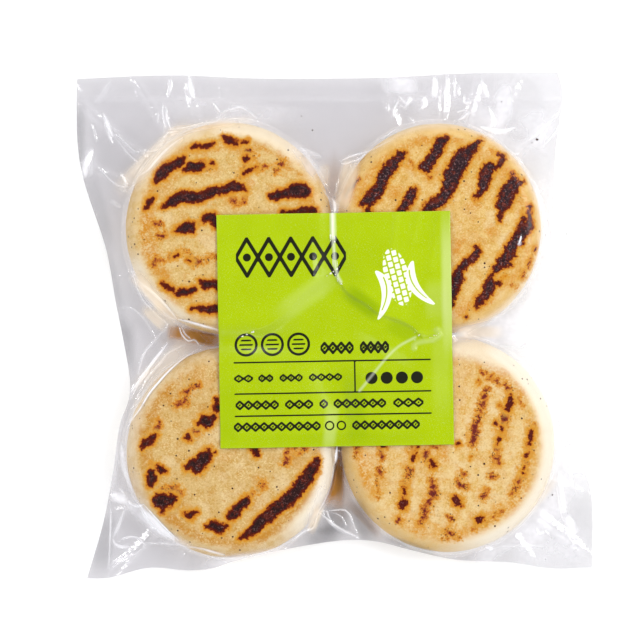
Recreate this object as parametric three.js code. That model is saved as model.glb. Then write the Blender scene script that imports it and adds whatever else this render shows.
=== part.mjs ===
// Four round corn cakes (arepas) vacuum-packed side by side in a clear pouch, with a square label
// stuck over the middle, where the four cakes meet.
//
// Units are millimetres, +Z up. The pack lies flat, label up, on z = 0, and its origin is under the
// middle of its bounds. +Y points to the end of the pouch with the wide heat seal.
//
// The pouch is drawn tight, so its solid is one body: the film's upper face, the film's lower face and
// the thin sealed margin that joins them round the outside. Both faces are height fields.
import * as THREE from 'three';

// ---- Cakes ------------------------------------------------------------------------------------

// Centre, mean radius, how much longer than wide (added to the radius along Y), height face to face.
const CAKES = [
  { corner: 'nw', x: -52.6, y: 48.6, radius: 52.3, oval: 0.7, height: 22.2 },
  { corner: 'sw', x: -51.6, y: -63.0, radius: 52.4, oval: 0.2, height: 22.0 },
  { corner: 'se', x: 56.5, y: -58.9, radius: 53.6, oval: 0.3, height: 21.8 },
  { corner: 'ne', x: 52.0, y: 48.6, radius: 51.8, oval: 0.8, height: 21.9 },
];
const EDGE_REACH = 8.5; // how far in from its widest line a cake's rounded edge starts
const CROWN = 0.5; // how much higher a cake's upper face is in its middle

// ---- Pouch ------------------------------------------------------------------------------------

const MARGIN_THICKNESS = 0.8; // the two films of the margin, sealed together
const SEAM_HEIGHT = 9.8; // of the margin's middle plane, half way up the cakes' sides
const TENT_REACH = 4.5; // how far outside a cake's widest line the film comes down to the seam
const TENT_SWAY = 1.6; // how much that reach varies round a cake
const SHOULDER_POWER = 0.8; // 0.5 is a round shoulder, 1 a parabola
const VALLEY_SHARPNESS = 4; // the higher, the sharper the valley between two cakes
const RIM_REACH = 4; // the film closes onto the rim over this distance

// Where the margin droops or lifts at the pouch's corners.
const CORNER_LIFT = { nw: -2.2, ne: 2.4, sw: -3.0, se: -1.4 };

// The four sides of the pouch, anticlockwise from the top right corner. Each is one smooth curve
// from corner to corner, and `waist` is the index of the point where two cakes meet on that side.
const HALF_WIDTH = 129.2;
const HALF_LENGTH = 126.6;
const NE = [111.5, HALF_LENGTH];
const NW = [-HALF_WIDTH, 123.8];
const SW = [-124.0, -HALF_LENGTH];
const SE = [HALF_WIDTH, -121.0];
const SIDES = [
  { waist: 3, points: [NE, [66, 126.3], [25, 124.2], [0, 123.8], [-40, 123.8], [-82, 125.4], NW] },
  {
    waist: 5,
    points: [NW, [-128.6, 91], [-125.5, 73], [-114.2, 38], [-109.2, 11], [-105.4, -8], [-102.3, -28],
      [-103, -37], [-107.2, -49], [-110.8, -73], [-115.6, -98], SW],
  },
  {
    waist: 7,
    points: [SW, [-113, -126.1], [-93, -121.1], [-72, -122.3], [-61, -121.2], [-51, -117.9],
      [-22, -111.2], [6, -107.1], [20, -107.6], [38, -112], [60, -116.8], [88, -118.3],
      [108, -121.2], SE],
  },
  {
    waist: 4,
    points: [SE, [127.6, -80], [118.5, -59.5], [105.5, -32], [95.4, -4.5], [106.5, 22], [108.8, 48],
      [110.5, 88], [113.8, 117], NE],
  },
];

// Folds that run from a cake's edge to the rim: the compass corner of the cake, the fold's bearing
// from the cake's centre in degrees anticlockwise from +X, its height and its half width.
const FOLDS = [
  { corner: 'nw', bearing: 93, height: 0.8, half: 5 },
  { corner: 'nw', bearing: 106, height: 1.0, half: 4 },
  { corner: 'nw', bearing: 122, height: 1.3, half: 4 },
  { corner: 'nw', bearing: 140, height: 1.6, half: 4.5 },
  { corner: 'nw', bearing: 156, height: 1.3, half: 4.5 },
  { corner: 'nw', bearing: 205, height: 0.9, half: 5 },
  { corner: 'sw', bearing: 208, height: 1.0, half: 4 },
  { corner: 'sw', bearing: 226, height: 1.7, half: 4.5 },
  { corner: 'sw', bearing: 246, height: 1.2, half: 4.5 },
  { corner: 'sw', bearing: 300, height: 1.2, half: 5 },
  { corner: 'se', bearing: 232, height: 1.2, half: 5 },
  { corner: 'se', bearing: 306, height: 1.2, half: 4.5 },
  { corner: 'se', bearing: 322, height: 1.6, half: 4.5 },
  { corner: 'se', bearing: 340, height: 1.2, half: 4.5 },
  { corner: 'ne', bearing: 43, height: 1.6, half: 4.5 },
  { corner: 'ne', bearing: 62, height: 1.3, half: 4 },
  { corner: 'ne', bearing: 75, height: 1.2, half: 4 },
  { corner: 'ne', bearing: 88, height: 1.3, half: 4 },
  { corner: 'ne', bearing: 112, height: 1.0, half: 4.5 },
  { corner: 'ne', bearing: 5, height: 0.8, half: 5 },
];

// ---- Label ------------------------------------------------------------------------------------

const LABEL_SIZE = 115.5;
const LABEL_CENTRE = { x: 0.3, y: -1.8 };
const LABEL_TURN = 1.0; // degrees anticlockwise
const LABEL_THICKNESS = 0.5;
const LABEL_GAP = 0.75; // between the label and the film, more than the two meshes' chords differ by
const LABEL_CELLS = 25;
const LABEL_BRIDGE = 24; // how much wider the film's tent is under the label, over the open middle
const BRIDGE_SPREAD = 24; // how far from the middle that widening reaches

// ---- Mesh density -----------------------------------------------------------------------------

const CENTRE = [1.5, -6.4]; // the point where the four quarters of the pouch meet
const CURVE_STEPS = 8; // straight steps to each span of a side's curve
const RIM_RAYS = 25; // rays from a cake to each half side
const VALLEY_RAYS = 16; // rays from a cake to each line that it shares with a neighbour
const UPPER_RINGS = { flat: 2, shoulder: 6, margin: 3 };
const LOWER_RINGS = { flat: 1, shoulder: 3, margin: 2 };

const degrees = THREE.MathUtils.degToRad;
const clamp = THREE.MathUtils.clamp;
const smoothstep = THREE.MathUtils.smoothstep;

// ---- The pouch's outline ----------------------------------------------------------------------

const flatPoint = ([x, y]) => new THREE.Vector3(x, y, 0);

// Each side as a fine polyline, cut at its waist into two half sides.
const halfSides = SIDES.map(({ waist, points }) => {
  const curve = new THREE.CatmullRomCurve3(points.map(flatPoint), false, 'centripetal');
  const fine = curve.getPoints((points.length - 1) * CURVE_STEPS);
  const cut = waist * CURVE_STEPS;
  return [fine.slice(0, cut + 1), fine.slice(cut)];
});
const rimLine = halfSides.flat(2);

// The distance from a point to the rim.
const nearest = new THREE.Vector3();
const probe = new THREE.Vector3();
const span = new THREE.Line3();

function rimDistance(x, y) {
  probe.set(x, y, 0);
  let least = Infinity;
  rimLine.forEach((start, i) => {
    span.set(start, rimLine[(i + 1) % rimLine.length]);
    span.closestPointToPoint(probe, true, nearest);
    least = Math.min(least, nearest.distanceTo(probe));
  });
  return least;
}

// ---- Height of the film -----------------------------------------------------------------------

const cakeAt = Object.fromEntries(CAKES.map((cake) => [cake.corner, cake]));
const cakeRadius = (cake, angle) => cake.radius - cake.oval * Math.cos(2 * angle);

// How far outside a cake's widest line the film meets the seam, which varies round the cake.
const tentReach = (cake, angle) => TENT_REACH + TENT_SWAY * Math.sin(3 * angle + cake.x);

// How far a point lies outside a cake's widest line, and its bearing from the cake's centre.
function fromCake(cake, x, y) {
  const angle = Math.atan2(y - cake.y, x - cake.x);
  return { angle, outside: Math.hypot(x - cake.x, y - cake.y) - cakeRadius(cake, angle) };
}

// 1 over the cake's flat face, falling to 0 where the film meets the seam.
function shoulder(outside, reach) {
  const share = clamp((outside + EDGE_REACH) / (EDGE_REACH + reach), 0, 1);
  return (1 - share * share) ** SHOULDER_POWER;
}

// The middle plane of the margin: level beside the cakes, drooping or lifted at the corners, with
// folds that rise beside each cake and fade at the rim's own heat seal.
function seamHeight(x, y, fromRim) {
  const east = (x / HALF_WIDTH + 1) / 2;
  const north = (y / HALF_LENGTH + 1) / 2;
  const lift =
    north * (east * CORNER_LIFT.ne + (1 - east) * CORNER_LIFT.nw) +
    (1 - north) * (east * CORNER_LIFT.se + (1 - east) * CORNER_LIFT.sw);
  const cornered = (x / HALF_WIDTH) ** 2 * (y / HALF_LENGTH) ** 2;
  let folds = 0;
  for (const { corner, bearing, height, half } of FOLDS) {
    const cake = cakeAt[corner];
    const { angle, outside } = fromCake(cake, x, y);
    const turned = Math.atan2(Math.sin(angle - degrees(bearing)), Math.cos(angle - degrees(bearing)));
    const aside = Math.abs(turned) * (cake.radius + outside);
    const ridge = Math.max(0, 1 - aside / half) ** 1.5;
    folds += height * ridge * smoothstep(outside, -2, 5);
  }
  return SEAM_HEIGHT + lift * cornered + folds * (0.45 + 0.55 * smoothstep(fromRim, 0, 9));
}

// Several heights as one, sharp-valleyed surface over all of them.
const blend = (heights) =>
  heights.reduce((sum, h) => sum + h ** VALLEY_SHARPNESS, 0) ** (1 / VALLEY_SHARPNESS);

function upperHeight(x, y) {
  const fromRim = rimDistance(x, y);
  const seam = seamHeight(x, y, fromRim) + MARGIN_THICKNESS / 2;
  const middle = Math.hypot(x - CENTRE[0], y - CENTRE[1]) / BRIDGE_SPREAD;
  const bridge = LABEL_BRIDGE * Math.exp(-middle * middle);
  const heights = CAKES.map((cake) => {
    const { angle, outside } = fromCake(cake, x, y);
    const reach = tentReach(cake, angle) + bridge;
    const dome = CROWN * clamp(-(outside + EDGE_REACH) / cake.radius, 0, 1);
    return (cake.height + dome - seam) * shoulder(outside, reach);
  });
  return seam + blend(heights) * Math.sqrt(clamp(fromRim / RIM_REACH, 0, 1));
}

function lowerHeight(x, y) {
  const fromRim = rimDistance(x, y);
  const seam = seamHeight(x, y, fromRim) - MARGIN_THICKNESS / 2;
  const depths = CAKES.map((cake) => {
    const { angle, outside } = fromCake(cake, x, y);
    return seam * shoulder(outside, tentReach(cake, angle));
  });
  return Math.max(0, seam - blend(depths) * Math.sqrt(clamp(fromRim / RIM_REACH, 0, 1)));
}

// ---- The pouch's mesh -------------------------------------------------------------------------

// Points along a polyline, evenly spread in direction as seen from a cake's centre.
function spread(line, cake, steps) {
  const seen = line.map((p) => Math.atan2(p.y - cake.y, p.x - cake.x));
  for (let i = 1; i < seen.length; i++) {
    while (seen[i] - seen[i - 1] > Math.PI) seen[i] -= 2 * Math.PI;
    while (seen[i] - seen[i - 1] < -Math.PI) seen[i] += 2 * Math.PI;
  }
  const last = seen.length - 1;
  const rising = Math.sign(seen[last] - seen[0]);
  const points = [];
  for (let k = 0; k <= steps; k++) {
    const wanted = seen[0] + ((seen[last] - seen[0]) * k) / steps;
    let i = 1;
    while (i < last && rising * seen[i] < rising * wanted) i++;
    const share = clamp((wanted - seen[i - 1]) / (seen[i] - seen[i - 1] || 1), 0, 1);
    points.push(new THREE.Vector3().lerpVectors(line[i - 1], line[i], share));
  }
  return points;
}

// A straight line from the centre out to a waist, fine enough for spread.
function valleyLine(waistPoint) {
  const line = new THREE.LineCurve3(flatPoint(CENTRE), waistPoint);
  return line.getPoints(200);
}

// The loop round each cake's quarter of the pouch, anticlockwise, without its repeated points:
// centre, out along one valley, along two half sides, and back along the next valley.
const valleys = halfSides.map(([, after], side) =>
  spread(valleyLine(after[0]), CAKES[side], VALLEY_RAYS));
const quarterLoops = CAKES.map((cake, i) => {
  const next = (i + 1) % CAKES.length;
  return [
    ...valleys[i].slice(0, -1),
    ...spread(halfSides[i][1], cake, RIM_RAYS).slice(0, -1),
    ...spread(halfSides[next][0], cake, RIM_RAYS).slice(0, -1),
    ...valleys[next].slice(1).reverse(),
  ];
});

// Distances of the rings from a cake's centre along one ray, the last one at the loop itself.
function ringDistances(cake, angle, reach, { flat, shoulder: bends, margin }) {
  const edge = cakeRadius(cake, angle) - EDGE_REACH;
  const foot = Math.min(EDGE_REACH + tentReach(cake, angle), 0.8 * (reach - edge));
  const distances = [];
  for (let k = 1; k <= flat; k++) distances.push((edge * k) / flat);
  for (let k = 1; k <= bends; k++) distances.push(edge + (foot * k) / bends);
  for (let k = 1; k <= margin; k++) {
    distances.push(edge + foot + ((reach - edge - foot) * k) / margin);
  }
  return distances;
}

// One face of the pouch: a fan and rings of triangles round each cake, with heights from `heightAt`.
function faceTriangles(rings, heightAt) {
  const triangles = [];
  CAKES.forEach((cake, i) => {
    const middle = new THREE.Vector3(cake.x, cake.y, heightAt(cake.x, cake.y));
    const rays = quarterLoops[i].map((end) => {
      const angle = Math.atan2(end.y - cake.y, end.x - cake.x);
      const reach = Math.hypot(end.x - cake.x, end.y - cake.y);
      const distances = ringDistances(cake, angle, reach, rings);
      return distances.map((d, k) => {
        const isEnd = k === distances.length - 1;
        const x = isEnd ? end.x : cake.x + d * Math.cos(angle);
        const y = isEnd ? end.y : cake.y + d * Math.sin(angle);
        return new THREE.Vector3(x, y, heightAt(x, y));
      });
    });
    rays.forEach((ray, j) => {
      const next = rays[(j + 1) % rays.length];
      triangles.push([middle, ray[0], next[0]]);
      for (let k = 1; k < ray.length; k++) {
        triangles.push([ray[k - 1], ray[k], next[k]], [ray[k - 1], next[k], next[k - 1]]);
      }
    });
  });
  return triangles;
}

// The thin wall round the rim, between the two faces.
function rimTriangles() {
  const loop = quarterLoops.flatMap((points) =>
    points.slice(VALLEY_RAYS, VALLEY_RAYS + 2 * RIM_RAYS));
  const upper = loop.map(({ x, y }) => new THREE.Vector3(x, y, upperHeight(x, y)));
  const lower = loop.map(({ x, y }) => new THREE.Vector3(x, y, lowerHeight(x, y)));
  return loop.flatMap((_, i) => {
    const j = (i + 1) % loop.length;
    return [[lower[i], lower[j], upper[j]], [lower[i], upper[j], upper[i]]];
  });
}

function geometryOf(triangles) {
  const positions = triangles.flatMap((corners) => corners.flatMap((p) => p.toArray()));
  const geometry = new THREE.BufferGeometry();
  geometry.setAttribute('position', new THREE.Float32BufferAttribute(positions, 3));
  geometry.computeVertexNormals();
  return geometry;
}

function makePouch() {
  const lower = faceTriangles(LOWER_RINGS, lowerHeight).map(([a, b, c]) => [a, c, b]);
  const triangles = [...faceTriangles(UPPER_RINGS, upperHeight), ...rimTriangles(), ...lower];
  const material = new THREE.MeshStandardMaterial({ color: 0xe6dcc4, roughness: 0.25 });
  const mesh = new THREE.Mesh(geometryOf(triangles), material);
  mesh.name = 'pouch';
  return mesh;
}

// ---- The label's mesh -------------------------------------------------------------------------

// A thin square sheet that follows the film, one cell of the grid at a time.
function makeLabel() {
  const turn = degrees(LABEL_TURN);
  const layers = [LABEL_GAP, LABEL_GAP + LABEL_THICKNESS].map((above) => {
    const rows = [];
    for (let i = 0; i <= LABEL_CELLS; i++) {
      const row = [];
      for (let j = 0; j <= LABEL_CELLS; j++) {
        const u = LABEL_SIZE * (j / LABEL_CELLS - 0.5);
        const v = LABEL_SIZE * (i / LABEL_CELLS - 0.5);
        const x = LABEL_CENTRE.x + u * Math.cos(turn) - v * Math.sin(turn);
        const y = LABEL_CENTRE.y + u * Math.sin(turn) + v * Math.cos(turn);
        row.push(new THREE.Vector3(x, y, upperHeight(x, y) + above));
      }
      rows.push(row);
    }
    return rows;
  });
  const [under, over] = layers;
  const triangles = [];
  const quad = (a, b, c, d) => triangles.push([a, b, c], [a, c, d]);
  for (let i = 0; i < LABEL_CELLS; i++) {
    for (let j = 0; j < LABEL_CELLS; j++) {
      quad(over[i][j], over[i][j + 1], over[i + 1][j + 1], over[i + 1][j]);
      quad(under[i][j], under[i + 1][j], under[i + 1][j + 1], under[i][j + 1]);
    }
  }
  const last = LABEL_CELLS;
  for (let k = 0; k < last; k++) {
    quad(under[0][k], under[0][k + 1], over[0][k + 1], over[0][k]);
    quad(under[k][last], under[k + 1][last], over[k + 1][last], over[k][last]);
    quad(under[last][k + 1], under[last][k], over[last][k], over[last][k + 1]);
    quad(under[k + 1][0], under[k][0], over[k][0], over[k + 1][0]);
  }
  const material = new THREE.MeshStandardMaterial({ color: 0xb8dc28, roughness: 0.35 });
  const mesh = new THREE.Mesh(geometryOf(triangles), material);
  mesh.name = 'label';
  return mesh;
}

const pack = new THREE.Group();
pack.add(makePouch(), makeLabel());

export default pack;
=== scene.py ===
"""Looks of a vacuum pack of four griddled corn cakes (arepas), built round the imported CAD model.

Lengths are millimetres in the CAD's frame until make_mesh turns them into metres: +X is to the
right, +Y is towards the pouch's wide heat seal, +Z is up, and the pack lies on z = 0. A seed fixes
each random draw, so every run gives the same result.
"""

import math

import bpy
import numpy as np
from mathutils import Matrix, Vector
from mathutils.geometry import delaunay_2d_cdt


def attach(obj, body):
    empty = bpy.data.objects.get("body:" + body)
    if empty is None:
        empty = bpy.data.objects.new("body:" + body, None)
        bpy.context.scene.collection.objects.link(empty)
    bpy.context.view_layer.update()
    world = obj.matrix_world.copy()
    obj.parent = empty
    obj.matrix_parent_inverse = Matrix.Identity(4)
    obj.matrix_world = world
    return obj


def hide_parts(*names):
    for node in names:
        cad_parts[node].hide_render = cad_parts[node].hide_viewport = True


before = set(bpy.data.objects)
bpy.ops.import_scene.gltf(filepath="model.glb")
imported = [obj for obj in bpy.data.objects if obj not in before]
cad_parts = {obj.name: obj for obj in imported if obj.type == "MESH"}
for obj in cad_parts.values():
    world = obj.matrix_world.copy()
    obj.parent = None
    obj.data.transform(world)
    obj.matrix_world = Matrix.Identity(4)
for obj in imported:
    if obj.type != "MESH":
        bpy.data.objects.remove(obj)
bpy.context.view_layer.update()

MM = 0.001
TINY = 1e-9  # keeps a line without length from dividing by zero
LATTICE = 64  # random heights along each side of a lattice of noise, which repeats
WHITE = (1, 1, 1, 1)

# ---- Sizes that repeat the part's source ---------------------------------------------------------

# Centre, mean radius, how much longer than wide, height face to face.
CAKES = {
    "nw": {"x": -52.6, "y": 48.6, "radius": 52.3, "oval": 0.7, "height": 22.2},
    "sw": {"x": -51.6, "y": -63.0, "radius": 52.4, "oval": 0.2, "height": 22.0},
    "se": {"x": 56.5, "y": -58.9, "radius": 53.6, "oval": 0.3, "height": 21.8},
    "ne": {"x": 52.0, "y": 48.6, "radius": 51.8, "oval": 0.8, "height": 21.9},
}
EDGE_REACH = 8.5  # how far in from its widest line a cake's face begins
CROWN = 0.5  # how much higher a face is in its middle
SEAM_HEIGHT = 9.8  # of the margin, where the two films meet
TENT_REACH = 4.5  # how far from a cake the film comes down to the margin
TENT_SWAY = 1.6
TENT_HUG = 0.36  # the film clings closer to the dough than the solid does
HUG_POWER = 0.62
LABEL_REACH = 8  # the label holds the film out over the valleys
LABEL_HOLD = (12, -2)  # and lets go of it between so far outside its edge and so far inside
VALLEY_SHARPNESS = 4
RIM_REACH = 4  # how far inside the rim the films part fully
PINCH_CLOSE = 0.2  # share of that reach where a cake is close to the rim
PINCH_START = (-3, 2)  # and where that begins and ends, outside a cake
CORNER_LIFT = {"nw": -2.2, "ne": 2.4, "sw": -3.0, "se": -1.4}
HALF_WIDTH = 129.2
HALF_LENGTH = 126.6
NE = (111.5, HALF_LENGTH)
NW = (-HALF_WIDTH, 123.8)
SW = (-124.0, -HALF_LENGTH)
SE = (HALF_WIDTH, -121.0)
SIDES = {
    "top": (NE, (66, 126.3), (25, 124.2), (0, 123.8), (-40, 123.8), (-82, 125.4), NW),
    "left": (NW, (-128.6, 91), (-125.5, 73), (-114.2, 38), (-109.2, 11), (-105.4, -8),
             (-102.3, -28), (-103, -37), (-107.2, -49), (-110.8, -73), (-115.6, -98), SW),
    "bottom": (SW, (-113, -126.1), (-93, -121.1), (-72, -122.3), (-61, -121.2), (-51, -117.9),
               (-22, -111.2), (6, -107.1), (20, -107.6), (38, -112), (60, -116.8), (88, -118.3),
               (108, -121.2), SE),
    "right": (SE, (127.6, -80), (118.5, -59.5), (105.5, -32), (95.4, -4.5), (106.5, 22),
              (108.8, 48), (110.5, 88), (113.8, 117), NE),
}
# Broad folds from a cake to the rim: cake, bearing in degrees, height, half width.
BROAD_FOLDS = (
    ("nw", 93, 0.8, 5), ("nw", 106, 1.0, 4), ("nw", 122, 1.3, 4), ("nw", 140, 1.6, 4.5),
    ("nw", 156, 1.3, 4.5), ("nw", 205, 0.9, 5), ("sw", 208, 1.0, 4), ("sw", 226, 1.7, 4.5),
    ("sw", 246, 1.2, 4.5), ("sw", 300, 1.2, 5), ("se", 232, 1.2, 5), ("se", 306, 1.2, 4.5),
    ("se", 322, 1.6, 4.5), ("se", 340, 1.2, 4.5), ("ne", 43, 1.6, 4.5), ("ne", 62, 1.3, 4),
    ("ne", 75, 1.2, 4), ("ne", 88, 1.3, 4), ("ne", 112, 1.0, 4.5), ("ne", 5, 0.8, 5),
)
FOLD_START = (-2, 5)  # where a fold rises, outside its cake
FOLD_AT_RIM = 0.45  # share of its height that a fold keeps at the rim
FOLD_RISE = 9  # how far inside the rim it has the whole
FOLD_POWER = 1.5  # how sharply its height falls off to each side
MIDDLE = (1.5, -6.4)  # where the four cakes meet
LABEL_BRIDGE = 24  # how much farther it holds the film out there
BRIDGE_SPREAD = 24  # and how far from there that fades
LABEL_SIZE = 115.5
LABEL_CENTRE = (0.3, -1.8)
LABEL_TURN = math.radians(1.0)

# ---- Sizes of the looks --------------------------------------------------------------------------

CURVE_STEPS = 12  # straight steps to each span of a side's curve
RASTER = 0.25  # cell of the raster that keeps the film's points apart
NET_REACH = 137  # of that raster to each side
RIM_POINTS = 1100
FILM_STEP = 1.25  # between the film's points where it is smooth
FILM_ROW = 0.866  # height of a triangle by its side
FILM_REACH = 135
RIM_CLEAR = 0.6  # how far other points stay from those of the rim, a crease and a ring
CREASE_CLEAR = 0.3
RING_CLEAR = 0.5
RING_STEP = 0.8  # along the rings of points round each cake
RING_PLACES = (-9.5, -8.7, -8, -7.2, -6.4, -5.6, -4.8, -4, -3.3, -2.6, -2, -1.4, -0.9, -0.4, 0.1,
               0.6, 1.1, 1.6, 2.1, 2.6, 3.2, 4, 5)  # outside a cake
FILM_GAP = 0.35  # from a cake's face to the film over it
CAKE_CELLS = 128  # cells across a cake's face
EDGE_RINGS = 22  # rings of cells round a cake's side
LABEL_CELLS = 220
FACE_LUMPS = ((0.3, 13, 0), (0.2, 5, 1))  # relief in layers: height, size, seed
SIDE_LUMPS = ((0.3, 9, 2), (0.2, 3.5, 3))
LUMP_DEPTH = 0.3
LUMP_RISE = 8  # a face has its relief in full this far above or below mid-height, a side outwards
CHAR_DEPTH = 0.35  # how far the charred marks sink
CHAR_EDGE = (-1.5, 0.8)  # where they do, outside a mark
CHAR_START = (-2, 3)  # and inside the edge of the face
SIDE_PROUD = 0.22  # how far a cake's side stands out between its dents
SIDE_DEPTH = 0.5
LABEL_LIFT = 0.7  # from the film to the label's printed face
LABEL_SLACK = ((0.6, 19, 31), (0.16, 7, 32))
LABEL_THICKNESS = 0.15
SEAL_GAP = 0.3  # between the two films of the margin
MARGIN_WAVES = ((0.55, 27, 3), (0.16, 9, 4))
WAVES_START = (-1, 9)  # where they set in, outside a cake
WAVES_RISE = 6  # how far inside the rim they are full
FILM_RIPPLE = ((0.05, 11, 5), (0.02, 3.5, 6))
RIPPLE_ON_CAKES = 0.35  # share of it over the cakes
BESIDE = (-6, 4)  # where the film goes from clinging to a cake to lying free, outside the cake
OPENING = 1.5  # how far inside the rim the gap between the two films is full
CREASE_STEP = 0.8  # length of a step along a crisp fold
CREASE_CURVE_STEPS = 8  # steps to each span of its curve, and of a label crease's
LABEL_CURVE_STEPS = 6
CREASE_POWER = 1.2  # how sharply a fold's height falls off, its shine, and a label crease
SHINE_POWER = 0.6
LABEL_CREASE_POWER = 1.3
PATCH_EDGE = (0.4, 1.2)  # where a soft patch fades, by its half size
PATCH_START = (-8, -3)  # where a patch on a flank sets in, outside a cake
PATCH_DELAY = 5  # how much farther out it sets in at the right
PATCH_EAST = (40, 80)  # x where that begins, and where it is full

# Clear film: what each layer lets through, and its milky part.
FILM_TINT = (0.852, 0.844, 0.859, 1)
SNUG_TINT = (0.9, 0.893, 0.897, 1)  # where it clings to a cake
FILM_MIRROR = 0.05  # how much it reflects straight on, the same from inside and outside
SNUG_MIRROR = 0.018  # and where it clings to a cake
SLACK_GLOSS = 0.09  # roughness of the slack film, and of the film that clings to a cake
SNUG_GLOSS = 0.34
FILM_MILK = (0.93, 0.92, 0.95, 1)
MILK_OVER_CAKES = 0.001
MILK_BESIDE = 0.02
MILK_BELOW = 0.5  # share of the whiteness that the lower film has
# Whiteness of the folds: whitened film with painted highlights.
CREASE_WHITE_HIGHLIGHT = 0.95
CREASE_WIDTH = 1.3  # how much wider each fold is than written
EAST = (60, 100)  # x where the brighter right part of the film begins, and where it is full
EAST_MIDDLE = -5  # y of its middle
EAST_CALM = 0.6  # how much smaller its waves are
SLACK_START = (-1, 3)  # where slack film sets in, outside a cake
EAST_SHEEN = 0.1  # painted sheen: whiteness of the slack film at the right
SHEEN_START = (60, 105)  # x where it sets in
EAST_GLARE = 0.12  # and painted glare on its middle, which faces the window
GLARE_START = (88, 106)
GLARE_EDGE = (95, 60)  # how far from that middle the glare ends, and is full
EAST_CLEAR = 0.38  # painted light: how much of its tint the film at the right loses, to look as bright as the floor
EAST_CLEARER = 0.5  # and how much more in its middle
CLEARER_EDGE = (98, 55)
CLEAR_START = (-3, 3)  # where both set in, outside a cake
VALLEY = (198, 136, 38)  # crust of the cakes' sides in shade, painted on the lower film between two cakes
LIT_FLANK = (250, 230, 200)  # and pale dough with painted light on it, behind film that stands off a cake's side
SEAL_LINE = (113.5, 1.8, 0.05)  # y of the heat seal across the top, half width, whiteness
# Soft patches: x, y, half width, half length, turn in degrees, strength.
# Painted sheen on the film.
SHEEN_PATCHES = (
    (32.5, 120.2, 9, 4.5, 0, 0.45), (85, 112, 4.5, 12.5, 0, 0.3), (-123, 81.5, 2.5, 7, 0, 0.2),
    (84, -1, 28, 11, 0, 0.55), (96, 14, 14, 10, -30, 0.2), (102, 40, 6, 34, 0, 0.25),
    (104, -58, 8, 40, 20, 0.2), (82, 92, 24, 9, -45, 0.25), (100, -96, 16, 10, 45, 0.4),
    (58, 112, 34, 14, 0, 0.16),
    (-94, -96, 22, 4, -45, 0.4), (-110, -58, 4, 26, -8, 0.5), (-90, 84, 16, 5, 45, 0.35),
    (-50, 107, 40, 6, -4, 0.16), (-14, 82, 12, 5, -50, 0.3), (-8, -88, 5, 18, -14, 0.3),
    (-62, 113, 30, 12, 0, 0.08), (-99, -82, 8, 12, 10, 0.2), (-92, 15, 14, 4, -50, 0.4),
    (86, -106, 22, 6, 40, 0.42), (98, 98, 10, 14, 0, 0.2), (108, -108, 20, 12, 0, 0.15),
    (-44, -117, 24, 5, 8, 0.4), (-79, -106.5, 10, 3, -28, 0.35), (-91, -97, 7, 4, -42, 0.3),
)
# Painted shade on the film, which darkens its tint.
SHADE_PATCHES = (
    (-130, 92, 6, 22, 0, 0.35), (-119, 58, 6, 22, 14, 0.25), (-108, 86, 14, 16, 0, 0.12),
    (-110, 12, 5, 28, 12, 0.2), (-105, -10, 6, 14, 0, 0.3), (0, -97, 8, 8, 0, 0.5),
    (14, -97, 5, 12, 22, 0.45), (-6, -105, 9, 5, 10, 0.45), (124, -98, 8, 26, 0, 0.1),
    (3, -76, 2.5, 14, 0, 0.3),
    (-115, -108, 5, 16, -10, 0.3), (-10, -99, 4, 5, 0, 0.35), (39, -110, 14, 2.5, -20, 0.5),
)
# Dough behind the film with painted light on it: the same, over the cakes' flanks.
LIT_CREAM_PATCHES = (
    (6, 70, 5, 14, -12, 0.65), (-5, 75, 3, 7, 0, 0.3),
    (-92, 17, 12, 4, -48, 0.75), (-84, 6, 8, 4, -40, 0.5),
    (-86, -20, 18, 5, 42, 0.3), (-9.5, -96, 2.6, 8, -21, 0.6), (84, 84, 18, 5, -42, 0.5),
    (96, -88, 18, 6, 48, 0.6), (72, -3, 12, 3.5, 0, 0.5), (-90, 4, 8, 3, -45, 0.5),
    (-90, 84, 24, 6, 44, 0.5),
    (-62, 100, 22, 3, 8, 0.3), (-98, -52, 3, 20, 0, 0.2),
)
# Where the lower film between two cakes is painted with their brown sides in shade: a little
# wherever the second nearest cake is near, except at the right, and more in some places.
VALLEY_BROWN = 0.25
VALLEY_WIDTH = (6, 16)
VALLEY_EAST = (30, 60)
VALLEY_START = (-3, 1)
VALLEY_PATCHES = (
    (-67, -5.5, 13, 4, -12, 0.85), (-80, -3, 4, 4, 0, 0.6), (1.5, -68, 3.5, 22, 0, 0.9),
    (-3, -82, 4, 9, -20, 0.7), (15, -96.5, 2.5, 12, 43, 0.35),
)
SHADE = 0.6  # how much light a full painted shade lets through

# Which cake's marks, mirrored, each underside repeats.
UNDERSIDES = {"nw": "se", "sw": "ne", "se": "nw", "ne": "sw"}
# Face, pale grain, side, golden crust and charred core of each cake in sRGB, and how crumbly its
# scorched crust is.
DOUGH = {
    "nw": ((220, 180, 98), (230, 198, 130), (234, 204, 148), (216, 144, 24), (56, 28, 30), 0.25),
    "sw": ((213, 170, 90), (225, 190, 123), (230, 202, 150), (204, 138, 32), (54, 26, 24), 0.45),
    "se": ((229, 186, 101), (239, 208, 146), (230, 196, 132), (222, 150, 30), (96, 26, 16), 0.85),
    "ne": ((224, 178, 86), (236, 198, 120), (238, 200, 124), (220, 144, 22), (58, 36, 40), 1.0),
}
# Paler stretches of a cake's side, pale dough with painted light: cake, bearing, how far it spreads
# to each side in degrees, where it starts in mm outside the cake's widest line, strength.
PALE_LIT_ARCS = (
    ("nw", 128, 36, -8, 0.6), ("nw", 72, 38, -10, 0.65), ("nw", 222, 34, -9, 0.85),
    ("sw", 162, 38, -7, 0.35), ("sw", -20, 46, -10, 0.95), ("sw", 226, 26, -6, 0.5),
    ("se", -30, 74, -10, 1.0), ("se", 36, 52, -10, 1.0), ("se", 90, 50, -13, 0.65),
    ("ne", 48, 66, -5, 0.6), ("ne", -14, 40, -4, 0.6), ("ne", -50, 36, -5, 0.7),
    ("ne", 106, 34, -6, 0.45),
)
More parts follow.
